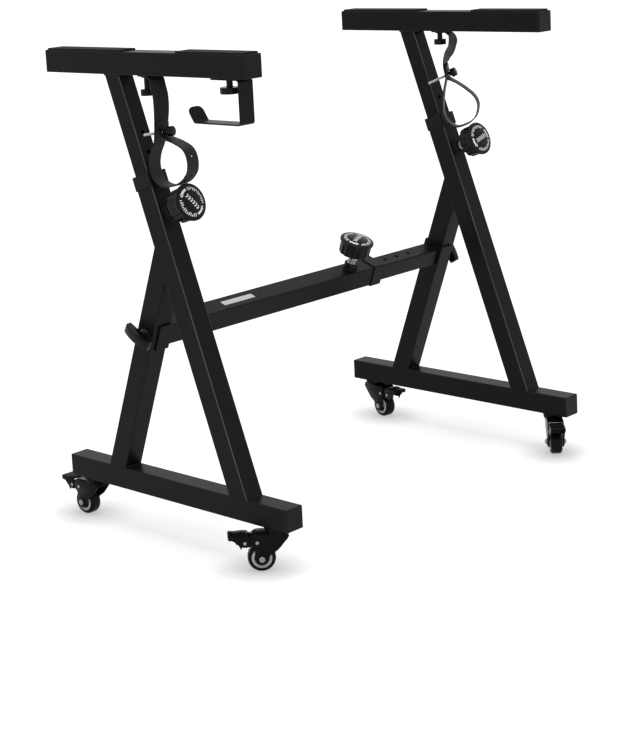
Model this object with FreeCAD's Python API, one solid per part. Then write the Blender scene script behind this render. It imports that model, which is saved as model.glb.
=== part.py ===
import FreeCAD
import Part
import math
import os

# Keyboard stand: two welded side frames on braked casters, joined by a telescopic crossbar, each
# with a top beam on a telescopic post. Spring pins with star knobs hold the width and the heights,
# and T-handle bolts hold the crossbar to the legs. Millimetres: X runs to the player's right along
# the crossbar, Y to the back, Z up, with the origin at the middle of the whole stand's footprint.

V = FreeCAD.Vector
X_AXIS = V(1, 0, 0)
Y_AXIS = V(0, 1, 0)
Z_AXIS = V(0, 0, 1)

# Whole stand
frame_spacing = 807.4
frame_x = {"left": -frame_spacing / 2, "right": frame_spacing / 2}
outward = {"left": -1, "right": 1}
overrun = 60.0
running_clearance = 0.05
seat_clearance = 0.1
part_gap = 0.3

# Square tubes
beam_size = 40.0
beam_wall = 1.5
leg_size = 40.0
tube_wall = 1.5
bush_wall = 1.5
tube_corner = 2.0
inner_size = leg_size - 2 * (tube_wall + bush_wall)

# Base and top beams, with their end caps
base_height = 76.0
base_front = -273.3
base_back = 273.3
base_top = base_height + beam_size
top_height = 831.35
leg_rise = top_height - base_top
cap_lip = 5.0
cap_plug_length = 15.0
cap_wall = 2.0
cap_edge = 1.5

# Legs: where their axes leave the base beam's top face, as shares of their rise, and how far they lean
long_leg_foot_share = -0.2259
long_leg_angle = 19.5
rear_leg_foot_share = 0.20074
rear_leg_angle = -20.64
long_leg_foot = long_leg_foot_share * leg_rise
rear_leg_foot = rear_leg_foot_share * leg_rise
post_reach = leg_rise / math.cos(math.radians(long_leg_angle))
post_top_y = long_leg_foot + leg_rise * math.tan(math.radians(long_leg_angle))

# Top beams, measured from the tops of the posts
top_front_reach = 327.02
top_back_reach = 170.68
top_front = post_top_y - top_front_reach
top_back = post_top_y + top_back_reach

# Collar bushes on the mouths of the outer tubes
collar_wall = 2.0
collar_size = leg_size + 2 * collar_wall
collar_length = 25.0
collar_lip = 3.0
collar_corner = 3.0
bush_depth = 33.0
post_exposed = 182.88
leg_collar_top = post_reach - post_exposed
bar_collar_end = 200.0

# Spring pins, their welded bosses, and the star knobs, measured outward from the tube's axis
pin_below_collar = 73.5
pin_height = leg_collar_top - pin_below_collar
pin_bar_x = 120.0
pin_pitch = 36.0
hole_count_up = 4
hole_count_down = 2
hole_count_right = 5
hole_count_left = 1
tube_tail = 25.0
pin_radius = 4.0
pin_hole_clearance = 0.3
pin_tip = 10.0
boss_radius = 13.0
boss_height = 12.0
sleeve_radius = 8.0
sleeve_length = 32.7
sleeve_end = leg_size / 2 + sleeve_length
sleeve_chamfer = 0.8
knob_back = sleeve_end + part_gap
knob_skirt_radius = 30.4
knob_skirt_height = 24.0
knob_skirt_end = knob_back + knob_skirt_height
knob_lobe_count = 12
knob_groove_radius = 4.9
knob_groove_depth = 2.0
knob_rim_radius = 33.0
knob_rim_height = 5.7
knob_rim_end = knob_skirt_end + knob_rim_height
knob_rim_rounding = 2.0
knob_dome_rise = 3.8
knob_dome_top = knob_rim_end + knob_dome_rise
knob_dome_radius = 29.3
knob_cavity_radius = 24.5
knob_cavity_depth = 16.0
knob_hub_radius = 9.5

# Crossbar and its saddle brackets on the rear legs
bar_height_share = 0.38624
bar_height = bar_height_share * leg_rise
saddle_thickness = 3.0
saddle_reach = 28.0
saddle_half_height = 24.5
weld_nut_flats = 13.0
weld_nut_height = 6.5

# T-handle bolts
bolt_radius = 4.0
bolt_length = 68.0
washer_radius = 10.0
washer_thickness = 1.5
t_neck_radius = 7.3
t_neck_length = 8.5
t_bar_length = 48.0
t_bar_width = 16.6
t_bar_thickness = 16.0
t_bar_bow = 4.5
t_bar_rounding = 2.0
t_bolt_seat = 9.0
t_bar_angle = {"left": 90.0, "right": -52.0}

# Pads on the top beams
pad_width = 36.4
pad_thickness = 3.0
pad_rounding = 2.0
front_pad_gap = 5.0
front_pad_length = 159.0
rear_pad_gap = 5.0
rear_pad_length = 195.0

# Thumb screws under the top beams
beam_nut_radius = 7.0
beam_nut_height = 6.0
strap_screw_reach = 72.22
strap_screw_y = post_top_y - strap_screw_reach
strap_screw_radius = 3.0
strap_washer_radius = 9.0
strap_washer_thickness = 2.0
strap_neck_radius = 5.15
strap_neck_end = {"left": 25.0, "right": 17.0}
strap_head_radius = 12.0
strap_head_height = 11.0
hook_screw_inset = 56.3
hook_screw_y = top_front + hook_screw_inset
hook_screw_radius = 4.0
hook_neck_radius = 5.5
hook_neck_length = 12.0
hook_head_radius = 16.5
hook_head_height = 11.0
screw_tail = 4.0
head_groove_count = 16
head_groove_radius = 1.6
head_groove_depth = 0.8
head_rounding = 1.0

# Rubber straps: each hangs from its screw, loops forward and returns to its clamp screw. The shares
# of the drop give its middle line from the screw, to the right, forward and up, chosen by eye, and the
# turns say how far its width is turned at each of these points from straight across the stand.
strap_drop = 197.0
strap_width = 28.0
strap_thickness = 2.4
strap_step_count = 2
strap_shares = {
    "left": [
        (0.024, -0.067, 0.0), (0.0, 0.0, 0.0), (-0.019, 0.052, 0.0), (-0.025, 0.14, -0.013),
        (-0.03, 0.17, -0.091), (-0.024, 0.183, -0.163), (-0.022, 0.185, -0.25),
        (-0.027, 0.183, -0.345), (-0.03, 0.173, -0.432), (-0.026, 0.157, -0.494),
        (-0.027, 0.135, -0.585), (-0.029, 0.087, -0.675), (-0.03, 0.065, -0.765),
        (-0.03, 0.081, -0.856), (-0.026, 0.143, -0.928), (-0.02, 0.261, -0.953),
        (-0.012, 0.412, -0.906), (-0.008, 0.497, -0.828), (-0.007, 0.518, -0.762),
        (-0.007, 0.51, -0.683), (-0.009, 0.466, -0.613), (-0.015, 0.368, -0.566),
        (-0.019, 0.279, -0.542), (-0.019, 0.203, -0.519), (-0.02, 0.182, -0.477),
        (-0.023, 0.187, -0.43), (-0.023, 0.195, -0.384),
    ],
    "right": [
        (-0.012, -0.07, 0.0), (0.0, 0.0, 0.0), (0.01, 0.055, -0.001), (0.021, 0.098, -0.012),
        (0.027, 0.138, -0.052), (-0.006, 0.165, -0.102), (-0.053, 0.178, -0.17), (-0.131, 0.185, -0.234),
        (-0.165, 0.185, -0.31), (-0.121, 0.161, -0.432), (-0.118, 0.151, -0.494),
        (-0.128, 0.137, -0.571), (-0.136, 0.127, -0.657), (-0.139, 0.122, -0.745),
        (-0.136, 0.127, -0.819), (-0.116, 0.154, -0.899), (-0.064, 0.226, -0.96),
        (-0.004, 0.308, -0.938), (0.03, 0.355, -0.903), (0.057, 0.392, -0.847), (0.069, 0.408, -0.759),
        (0.063, 0.4, -0.701), (0.042, 0.371, -0.641), (0.003, 0.318, -0.58), (-0.046, 0.25, -0.518),
        (-0.116, 0.184, -0.453), (-0.15, 0.198, -0.381), (-0.171, 0.207, -0.318),
    ],
}
strap_turns = {
    "left": [
        -20, -20, -20, -24, -28, -28, -26, -18, -8, -2, 3, 3, 3, 3, 3, 3, 3, 3, 3, 3, 3, 3, 3, 3,
        0, 0, 0,
    ],
    "right": [
        10, 10, 10, 12, 10, 9, 10, 14, 22, 31, 36, 36, 36, 36, 36, 36, 36, 36, 36, 36, 36, 36, 36, 36, 36,
        28, 28, 28,
    ],
}
clamp_shares = {"left": (-0.0259, 0.1518, -0.4916), "right": (-0.1152, 0.1548, -0.4358)}
clamp_turn = {"left": 12.0, "right": 22.0}
clamp_tilt = {"left": 8.0, "right": 23.0}
clamp_front = {"left": 14.0, "right": 7.3}
clamp_radius = 2.5
clamp_shaft_length = 52.0
clamp_head_radius = 8.7
clamp_head_height = 10.0
clamp_neck_radius = 4.5
clamp_neck_length = 4.0

# Headphone hook under the front of the left top beam
hook_rear_inset = 90.8
hook_front_inset = 20.8
hook_rear_y = top_front + hook_rear_inset
hook_front_y = top_front + hook_front_inset
hook_depth = 75.5
hook_tip_base_inset = 127.3
hook_tip_inset = 142.8
hook_tip_base_y = top_front + hook_tip_base_inset
hook_tip_y = top_front + hook_tip_inset
hook_tip_depth = 51.0
hook_width = 33.0
hook_thickness = 2.6
hook_bend = 5.0
hook_end_rounding = 11.0

# Casters: sizes out from the swivel axis along the trail, and up from the floor
stem_inset = 44.0
stem_radius = 4.0
stem_nut_radius = 7.0
stem_nut_height = 8.0
stem_tail = 2.0
stem_rivet_radius = 7.0
stem_rivet_height = 3.0
race_radius = 21.0
race_thickness = 2.2
crown_radius = 20.0
crown_rise = 5.5
fork_top = base_height - race_thickness - part_gap - crown_rise
fork_sheet = 2.75
fork_gap = 26.5
trail_share = 0.39706
wheel_share = 0.35294
trail = trail_share * fork_top
wheel_radius = wheel_share * fork_top
wheel_width = 23.0
tyre_rounding = 4.0
tyre_depth = 5.0
hub_ring = 7.0
hub_radius = wheel_radius - tyre_depth
hub_width = 22.0
hub_recess_radius = hub_radius - hub_ring
hub_recess_depth = 4.0
hub_boss_radius = 7.0
axle_radius = 4.0
axle_head_radius = 6.5
axle_head_height = 5.2
axle_boss_radius = 10.0
pivot_out_share = 0.49559
pivot_up_share = 0.77647
pivot_out = pivot_out_share * fork_top
pivot_up = pivot_up_share * fork_top
rivet_radius = 2.5
rivet_head_radius = 3.5
rivet_head_height = 1.5
pedal_inner_width = 25.0
pedal_outer_width = 29.0
pedal_sheet = 3.0
trail_angle = {
    ("left", "front"): 136.2,
    ("left", "rear"): 90.0,
    ("right", "front"): -139.0,
    ("right", "rear"): -101.5,
}
# Side outlines in shares of the trail and of the fork's height, from the swivel axis and the floor
fork_shares = [(-0.72, 0.93), (-0.60, 1.0), (1.56, 1.0), (1.56, 0.70), (1.33, 0.64), (1.33, 0.30),
               (0.68, 0.34), (-0.05, 0.58), (-0.72, 0.88)]
pedal_inner_shares = [(1.04, 0.735), (1.04, 0.85), (1.20, 0.90), (1.72, 0.90), (1.72, 0.66),
                      (1.66, 0.645), (1.52, 0.70), (1.36, 0.715)]
pedal_outer_shares = [(1.62, 0.71), (1.62, 0.90), (1.90, 0.995), (2.90, 0.985), (3.08, 0.93),
                      (3.08, 0.82), (2.92, 0.77), (2.40, 0.755), (2.26, 0.60), (2.12, 0.61), (2.02, 0.70)]


def block(x_span, y_span, z_span):
    """Box between two corners, given as a low and a high value along each axis."""
    shape = Part.makeBox(x_span[1] - x_span[0], y_span[1] - y_span[0], z_span[1] - z_span[0])
    shape.translate(V(x_span[0], y_span[0], z_span[0]))
    return shape


def rod(radius, low, high):
    """Cylinder on the Z axis."""
    return Part.makeCylinder(radius, high - low, V(0, 0, low))


def hexagon(across_flats, low, high):
    """Hexagonal prism on the Z axis."""
    reach = across_flats / math.sqrt(3)
    corners = [V(reach * math.cos(math.radians(60 * i)), reach * math.sin(math.radians(60 * i)), low)
               for i in range(7)]
    return Part.Face(Part.makePolygon(corners)).extrude(V(0, 0, high - low))


def prism(size, corner, low, high):
    """Square bar on the Z axis with its long edges rounded."""
    bar = block((-size / 2, size / 2), (-size / 2, size / 2), (low, high))
    long_edges = [edge for edge in bar.Edges if edge.BoundBox.ZLength > (high - low) / 2]
    return bar.makeFillet(corner, long_edges)


def tube(size, wall, low, high):
    """Square tube on the Z axis."""
    return prism(size, tube_corner, low, high).cut(prism(size - 2 * wall, tube_corner - wall, low, high))


def turned(profile):
    """Solid turned round the Z axis from a closed profile of (radius, height) points."""
    points = [V(radius, 0, height) for radius, height in profile]
    return Part.Face(Part.makePolygon(points + points[:1])).revolve(V(0, 0, 0), Z_AXIS, 360)


def outline(points, width):
    """Plate with an outline in the XZ plane, its thickness centred on it."""
    corners = [V(x, -width / 2, z) for x, z in points]
    return Part.Face(Part.makePolygon(corners + corners[:1])).extrude(V(0, width, 0))


def placed(shape, *placements):
    """Copy of a shape, moved by the product of placements."""
    result = shape.copy()
    whole = FreeCAD.Placement()
    for placement in placements:
        whole = whole.multiply(placement)
    result.Placement = whole.multiply(result.Placement)
    return result


def shifted(x, y, z):
    return FreeCAD.Placement(V(x, y, z), FreeCAD.Rotation())


def rotated(axis, degrees):
    return FreeCAD.Placement(V(0, 0, 0), FreeCAD.Rotation(axis, degrees))


def leg_place(side, foot, lean):
    """Frame of a leaning leg: Z up its axis from the base beam's top face, Y to its back face."""
    return shifted(frame_x[side], foot, base_top).multiply(rotated(X_AXIS, -lean))


def long_leg_place(side):
    return leg_place(side, long_leg_foot, long_leg_angle)


def rear_leg_place(side):
    return leg_place(side, rear_leg_foot, rear_leg_angle)


def front_knob_place(side):
    """Frame of a height pin: Z straight out of the long leg's front face."""
    return long_leg_place(side).multiply(shifted(0, 0, pin_height)).multiply(rotated(X_AXIS, 90))


# The crossbar is square to the rear legs, and its own frame has X along it and Z out of its top face.
bar_place = rear_leg_place("left").multiply(shifted(-frame_x["left"], 0, bar_height))
bar_knob_place = bar_place.multiply(shifted(pin_bar_x, 0, 0))


def above(height):
    """Block that fills everything above a height."""
    reach = 2 * frame_spacing
    return block((-reach, reach), (-reach, reach), (height, height + reach))


def below(height):
    reach = 2 * frame_spacing
    return block((-reach, reach), (-reach, reach), (height - reach, height))


def band(points, thickness, bend):
    """Face of a strip that follows points in the XY plane, with tangent arcs at its corners."""
    cuts = [0]
    turns = [0]
    for before, here, after in zip(points, points[1:], points[2:]):
        arriving = (here - before).normalize()
        leaving = (after - here).normalize()
        turn = math.atan2(arriving.cross(leaving).z, arriving.dot(leaving))
        cuts.append(bend * math.tan(abs(turn) / 2))
        turns.append(turn)
    sides = {1: [], -1: []}
    corner = points[0]
    for i in range(1, len(points)):
        along = (points[i] - points[i - 1]).normalize()
        square = Z_AXIS.cross(along)
        cut = cuts[i] if i < len(cuts) else 0
        end = points[i] - along * cut
        for side in sides:
            offset = square * (side * thickness / 2)
            sides[side].append(Part.LineSegment(corner + offset, end + offset).toShape())
        if cut:
            following = (points[i + 1] - points[i]).normalize()
            radius = cut / math.tan(abs(turns[i]) / 2)
            hand = math.copysign(1, turns[i])
            centre = end + square * (hand * radius)
            start_spoke = (end - centre).normalize()
            end_spoke = (points[i] + following * cut - centre).normalize()
            middle_spoke = (start_spoke + end_spoke).normalize()
            for side in sides:
                reach = radius - hand * side * thickness / 2
                arc = Part.Arc(centre + start_spoke * reach, centre + middle_spoke * reach,
                               centre + end_spoke * reach)
                sides[side].append(arc.toShape())
            corner = points[i] + following * cut
    left = Part.Wire(sides[1])
    right = Part.Wire(sides[-1])
    first = Part.LineSegment(left.OrderedVertexes[0].Point, right.OrderedVertexes[0].Point).toShape()
    last = Part.LineSegment(left.OrderedVertexes[-1].Point, right.OrderedVertexes[-1].Point).toShape()
    return Part.Face(Part.Wire(Part.__sortEdges__(sides[1] + sides[-1] + [first, last])))


def strip(points, thickness, width, end_rounding, bend):
    """Strip along points in the XY plane, centred on it across its width, with rounded ends."""
    shape = band(points, thickness, bend).extrude(V(0, 0, width))
    corners = []
    for edge in shape.Edges:
        middle = V(edge.CenterOfMass.x, edge.CenterOfMass.y, 0)
        if min(middle.distanceToPoint(points[0]), middle.distanceToPoint(points[-1])) < seat_clearance:
            corners.append(edge)
    shape = shape.makeFillet(end_rounding, corners)
    shape.translate(V(0, 0, -width / 2))
    return shape


def grooved_head(radius, low, high):
    """Thumb-screw head with small grip grooves round it."""
    head = rod(radius, low, high)
    rims = [edge for edge in head.Edges if abs(edge.Length - 2 * math.pi * radius) < running_clearance]
    head = head.makeFillet(head_rounding, rims)
    centre = radius + head_groove_radius - head_groove_depth
    for i in range(head_groove_count):
        angle = 2 * math.pi * i / head_groove_count
        groove = rod(head_groove_radius, low - overrun, high + overrun)
        groove.translate(V(centre * math.cos(angle), centre * math.sin(angle), 0))
        head = head.cut(groove)
    return head


# Beams and caps

def beam(side, front, back, height):
    """Square beam between its two end caps, along Y."""
    shape = tube(beam_size, beam_wall, front + cap_lip, back - cap_lip)
    return placed(shape, shifted(frame_x[side], 0, height + beam_size / 2), rotated(X_AXIS, -90))


def cap():
    """End cap facing +Z: a lip as large as the beam, and a hollow plug inside it."""
    lip = prism(beam_size, tube_corner, 0, cap_lip)
    far_edges = [edge for edge in lip.Edges if edge.BoundBox.ZMin > cap_lip - running_clearance]
    lip = lip.makeFillet(cap_edge, far_edges)
    plug_size = beam_size - 2 * beam_wall - 2 * seat_clearance
    plug = prism(plug_size, tube_corner - beam_wall, -cap_plug_length, 0)
    hollow = prism(plug_size - 2 * cap_wall, tube_corner - beam_wall, -cap_plug_length, 0)
    return lip.fuse(plug.cut(hollow)).removeSplitter()


def caps(side, front, back, height):
    middle = height + beam_size / 2
    return [
        placed(cap(), shifted(frame_x[side], front + cap_lip, middle), rotated(X_AXIS, 90)),
        placed(cap(), shifted(frame_x[side], back - cap_lip, middle), rotated(X_AXIS, -90)),
    ]


def stem_spots(side):
    """Swivel axes of a side frame's two casters."""
    return {
        "front": V(frame_x[side], base_front + stem_inset, 0),
        "rear": V(frame_x[side], base_back - stem_inset, 0),
    }


def base_beam(side):
    shape = beam(side, base_front, base_back, base_height)
    inside = base_height + beam_wall
    for spot in stem_spots(side).values():
        nut = rod(stem_nut_radius, inside, inside + stem_nut_height)
        hole = rod(stem_radius + running_clearance, base_height - overrun, inside + stem_nut_height)
        nut.translate(spot)
        hole.translate(spot)
        shape = shape.fuse(nut).cut(hole)
    return shape.removeSplitter()


def top_beam(side):
    """Top beam with weld nuts inside for its strap screw and, on the left, the hook's screw."""
    shape = beam(side, top_front, top_back, top_height)
    screws = [(strap_screw_y, strap_screw_radius)]
    if side == "left":
        screws.append((hook_screw_y, hook_screw_radius))
    inside = top_height + beam_wall
    for y, radius in screws:
        nut = rod(beam_nut_radius, inside, inside + beam_nut_height)
        hole = rod(radius + running_clearance, top_height - overrun, inside + beam_nut_height)
        nut.translate(V(frame_x[side], y, 0))
        hole.translate(V(frame_x[side], y, 0))
        shape = shape.fuse(nut).cut(hole)
    return shape.removeSplitter()


def pads(side):
    """Front and rear rubber pads on a top beam."""
    front_start = top_front + front_pad_gap
    rear_end = top_back - rear_pad_gap
    spans = [(front_start, front_start + front_pad_length), (rear_end - rear_pad_length, rear_end)]
    result = []
    for low, high in spans:
        pad = block((-pad_width / 2, pad_width / 2), (low, high), (0, pad_thickness))
        corners = [edge for edge in pad.Edges if edge.BoundBox.ZLength > pad_thickness / 2]
        pad = pad.makeFillet(pad_rounding, corners)
        pad.translate(V(frame_x[side], 0, top_height + beam_size))
        result.append(pad)
    return result


# Legs, posts and crossbar

def long_leg(side):
    """Front leg tube, mitred onto the base beam, with the pin's hole in its front face."""
    shape = tube(leg_size, tube_wall, -overrun, leg_collar_top - collar_lip - part_gap)
    shape = placed(shape, long_leg_place(side))
    hole = placed(rod(sleeve_radius + running_clearance, 0, leg_size), front_knob_place(side))
    return shape.cut(hole).cut(below(base_top))


def rear_leg(side):
    """Rear leg tube, mitred onto the base beam and onto the long leg's back face."""
    place = rear_leg_place(side)
    shape = placed(tube(leg_size, tube_wall, -overrun, pin_height), place)
    reach = 2 * leg_size
    front = block((-reach, reach), (-pin_height, leg_size / 2), (-overrun, leg_collar_top))
    shape = shape.cut(placed(front, long_leg_place(side))).cut(below(base_top))
    hole = rod(bolt_radius + seat_clearance, -leg_size, leg_size)
    return shape.cut(placed(hole, place, shifted(0, 0, bar_height), rotated(Y_AXIS, 90)))


def row_of_holes(count_before, count_after):
    """Rods for a row of pin holes along Z, centred on the pin that holds the tube now."""
    holes = []
    for i in range(-count_before, count_after + 1):
        hole = rod(pin_radius + pin_hole_clearance, 0, inner_size)
        holes.append(placed(hole, shifted(0, 0, i * pin_pitch), rotated(X_AXIS, 90)))
    return holes


def upper_tube(side):
    """Inner tube of a post, mitred under its top beam, with a row of pin holes down its front."""
    low = pin_height - hole_count_down * pin_pitch - tube_tail
    shape = tube(inner_size, tube_wall, low, 2 * pin_height)
    for hole in row_of_holes(hole_count_down, hole_count_up):
        shape = shape.cut(placed(hole, shifted(0, 0, pin_height)))
    return placed(shape, long_leg_place(side)).cut(above(top_height))


def bar_outer():
    """Outer tube of the crossbar, from the left saddle to its collar."""
    start = frame_x["left"] + leg_size / 2 + saddle_thickness
    end = bar_collar_end - collar_lip - part_gap
    shape = placed(tube(leg_size, tube_wall, start, end), bar_place, rotated(Y_AXIS, 90))
    return shape.cut(placed(rod(sleeve_radius + running_clearance, 0, leg_size), bar_knob_place))


def bar_inner():
    """Inner tube of the crossbar, with its row of pin holes along the top, to the right saddle."""
    start = pin_bar_x - hole_count_left * pin_pitch - tube_tail
    end = frame_x["right"] - leg_size / 2 - saddle_thickness
    shape = tube(inner_size, tube_wall, start, end)
    shape = placed(shape, rotated(Y_AXIS, 90))
    for i in range(-hole_count_left, hole_count_right + 1):
        hole = rod(pin_radius + pin_hole_clearance, 0, inner_size)
        shape = shape.cut(placed(hole, shifted(pin_bar_x + i * pin_pitch, 0, 0)))
    return placed(shape, bar_place)


def collar(length):
    """Plastic collar on a tube mouth at Z = 0: skirt outside the tube, lip, and bush inside it."""
    skirt = prism(collar_size, collar_corner, -length, 0)
    skirt = skirt.cut(prism(leg_size + 2 * seat_clearance, tube_corner, -length, -collar_lip))
    bush_outer = leg_size - 2 * tube_wall - 2 * seat_clearance
    bush = prism(bush_outer, tube_corner - tube_wall, -bush_depth, -collar_lip)
    way = prism(inner_size + 2 * seat_clearance, tube_corner, -overrun, collar_lip)
    return skirt.fuse(bush).cut(way).removeSplitter()


def leg_collar(side):
    return placed(collar(collar_length), long_leg_place(side), shifted(0, 0, leg_collar_top))


def bar_collar():
    return placed(collar(collar_length + collar_lip), bar_place, shifted(bar_collar_end, 0, 0),
                  rotated(Y_AXIS, 90))


def saddle(side):
    """Welded bracket of the crossbar: a web on the leg's inner face, two flanges and a weld nut."""
    half = leg_size / 2
    outer = half + part_gap + saddle_thickness
    height = (-saddle_half_height, saddle_half_height)
    shape = block((-outer, outer), height, (-saddle_reach, saddle_thickness))
    long_corners = [edge for edge in shape.Edges
                    if edge.BoundBox.YLength > saddle_half_height and edge.BoundBox.ZMin > 0]
    shape = shape.makeFillet(saddle_thickness / 2, long_corners)
    shape = shape.cut(block((-half - part_gap, half + part_gap), height, (-saddle_reach, 0)))
    nut = hexagon(weld_nut_flats, saddle_thickness, saddle_thickness + weld_nut_height)
    hole = rod(bolt_radius + running_clearance, -overrun, overrun)
    shape = shape.fuse(nut).cut(hole).removeSplitter()
    inward = -outward[side]
    face = shifted(inward * half, 0, bar_height)
    turn = rotated(Y_AXIS, inward * 90).multiply(rotated(Z_AXIS, 90))
    return placed(shape, rear_leg_place(side), face, turn)


# Spring pins

def boss():
    """Round boss welded on the outer tube, with Z along the pin."""
    face = leg_size / 2
    ring = rod(boss_radius, face, face + boss_height)
    return ring.cut(rod(sleeve_radius + running_clearance, face, face + boss_height))


def pin_sleeve():
    """Threaded sleeve that turns in the boss and guides the pin."""
    nose = leg_size / 2 - tube_wall + seat_clearance
    shape = rod(sleeve_radius, nose, sleeve_end)
    shape = shape.makeChamfer(sleeve_chamfer, [e for e in shape.Edges if e.BoundBox.ZLength < overrun / 2
                                               and e.BoundBox.ZMin > sleeve_end - sleeve_chamfer])
    return shape.cut(rod(pin_radius + running_clearance, nose, sleeve_end))


def star_knob():
    """Star knob with its pin: lobed skirt, rim and domed face, hollow at the back."""
    skirt = rod(knob_skirt_radius, knob_back, knob_skirt_end)
    centre = knob_skirt_radius + knob_groove_radius - knob_groove_depth
    for i in range(knob_lobe_count):
        angle = 2 * math.pi * i / knob_lobe_count
        groove = rod(knob_groove_radius, knob_back, knob_skirt_end)
        groove.translate(V(centre * math.cos(angle), centre * math.sin(angle), 0))
        skirt = skirt.cut(groove)
    rim = rod(knob_rim_radius, knob_skirt_end, knob_rim_end)
    rim_edges = [edge for edge in rim.Edges if edge.BoundBox.ZLength < knob_rim_rounding]
    rim = rim.makeFillet(knob_rim_rounding, rim_edges)
    dome_sphere = (knob_dome_radius ** 2 + knob_dome_rise ** 2) / (2 * knob_dome_rise)
    dome = Part.makeSphere(dome_sphere, V(0, 0, knob_dome_top - dome_sphere))
    dome = dome.common(rod(knob_dome_radius, knob_rim_end - knob_rim_rounding, knob_dome_top))
    cavity = rod(knob_cavity_radius, knob_back, knob_back + knob_cavity_depth)
    cavity = cavity.cut(rod(knob_hub_radius, knob_back, knob_back + knob_cavity_depth))
    pin = rod(pin_radius, pin_tip, knob_skirt_end)
    return skirt.fuse(rim).fuse(dome).cut(cavity).fuse(pin).removeSplitter()


# T-handle bolts

def t_place(side):
    """Frame of a T-handle bolt: Z straight out of the rear leg's outer face."""
    face = shifted(outward[side] * leg_size / 2, 0, bar_height)
    return rear_leg_place(side).multiply(face).multiply(rotated(Y_AXIS, outward[side] * 90))


t_neck_start = part_gap + washer_thickness
t_bar_start = t_neck_start + t_neck_length


def t_handle(side):
    """Moulded T bar with a bowed outer face, on a round neck."""
    half = t_bar_length / 2
    edge = t_bar_start + t_bar_thickness - t_bar_bow
    low_left = V(-half, 0, t_bar_start)
    low_right = V(half, 0, t_bar_start)
    top_left = V(-half, 0, edge)
    top_right = V(half, 0, edge)
    crest = V(0, 0, t_bar_start + t_bar_thickness)
    edges = [
        Part.LineSegment(low_left, low_right).toShape(),
        Part.LineSegment(low_right, top_right).toShape(),
        Part.Arc(top_right, crest, top_left).toShape(),
        Part.LineSegment(top_left, low_left).toShape(),
    ]
    bar = Part.Face(Part.Wire(edges)).extrude(V(0, t_bar_width, 0))
    bar.translate(V(0, -t_bar_width / 2, 0))
    bar = bar.makeFillet(t_bar_rounding, bar.Edges)
    neck = rod(t_neck_radius, t_neck_start, t_bar_start + t_bar_rounding)
    shape = bar.fuse(neck).removeSplitter()
    shape = shape.cut(rod(bolt_radius + running_clearance, 0, t_bar_start + t_bolt_seat))
    return placed(shape, t_place(side), rotated(Z_AXIS, t_bar_angle[side]))


def t_bolt(side):
    """The handle's bolt and its washer."""
    shank = rod(bolt_radius, -bolt_length, t_bar_start + t_bolt_seat)
    washer = rod(washer_radius, part_gap, part_gap + washer_thickness)
    washer = washer.cut(rod(bolt_radius + running_clearance, 0, overrun))
    return [placed(shape, t_place(side)) for shape in (shank, washer)]


# Screws, straps and hook under the top beams

def strap_screw(side):
    """Thumb screw that holds the strap's end under the top beam."""
    tab = strap_thickness + 2 * part_gap
    neck_end = -strap_neck_end[side]
    shank = rod(strap_screw_radius, neck_end, beam_wall + beam_nut_height + screw_tail)
    washer = rod(strap_washer_radius, -tab - strap_washer_thickness, -tab)
    neck = rod(strap_neck_radius, neck_end, -tab - strap_washer_thickness)
    head = grooved_head(strap_head_radius, neck_end - strap_head_height, neck_end)
    shape = shank.fuse(washer).fuse(neck).fuse(head).removeSplitter()
    shape.translate(V(frame_x[side], strap_screw_y, top_height))
    return shape


def hook_screw():
    """Thumb screw that holds the headphone hook under the left top beam."""
    plate = hook_thickness + 2 * part_gap
    shank = rod(hook_screw_radius, -plate - hook_neck_length, beam_wall + beam_nut_height + screw_tail)
    neck = rod(hook_neck_radius, -plate - hook_neck_length, -plate)
    low = -plate - hook_neck_length - hook_head_height
    head = grooved_head(hook_head_radius, low, -plate - hook_neck_length)
    shape = shank.fuse(neck).fuse(head).removeSplitter()
    shape.translate(V(frame_x["left"], hook_screw_y, top_height))
    return shape


def strap_place(side):
    """Frame of a strap's middle line, where its screw holds it: axes as for the whole stand."""
    return shifted(frame_x[side], strap_screw_y, top_height - part_gap - strap_thickness / 2)


def clamp_place(side):
    """Frame of a clamp screw: Z forward and slightly up along its shaft, from the strap's line."""
    right, forward, up = [share * strap_drop for share in clamp_shares[side]]
    turn = rotated(Z_AXIS, clamp_turn[side]).multiply(rotated(X_AXIS, 90 - clamp_tilt[side]))
    return strap_place(side).multiply(shifted(right, -forward, up)).multiply(turn)


def smoothed(rows):
    """Rows of numbers with more rows between them, on smooth curves through the given ones."""
    result = []
    for i in range(len(rows) - 1):
        before = rows[max(i - 1, 0)]
        after = rows[min(i + 2, len(rows) - 1)]
        for step in range(strap_step_count):
            t = step / strap_step_count
            result.append([
                b + t * (c - a + t * (2 * a - 5 * b + 4 * c - d + t * (3 * (b - c) + d - a))) / 2
                for a, b, c, d in zip(before, rows[i], rows[i + 1], after)])
    return result + [rows[-1]]


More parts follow.
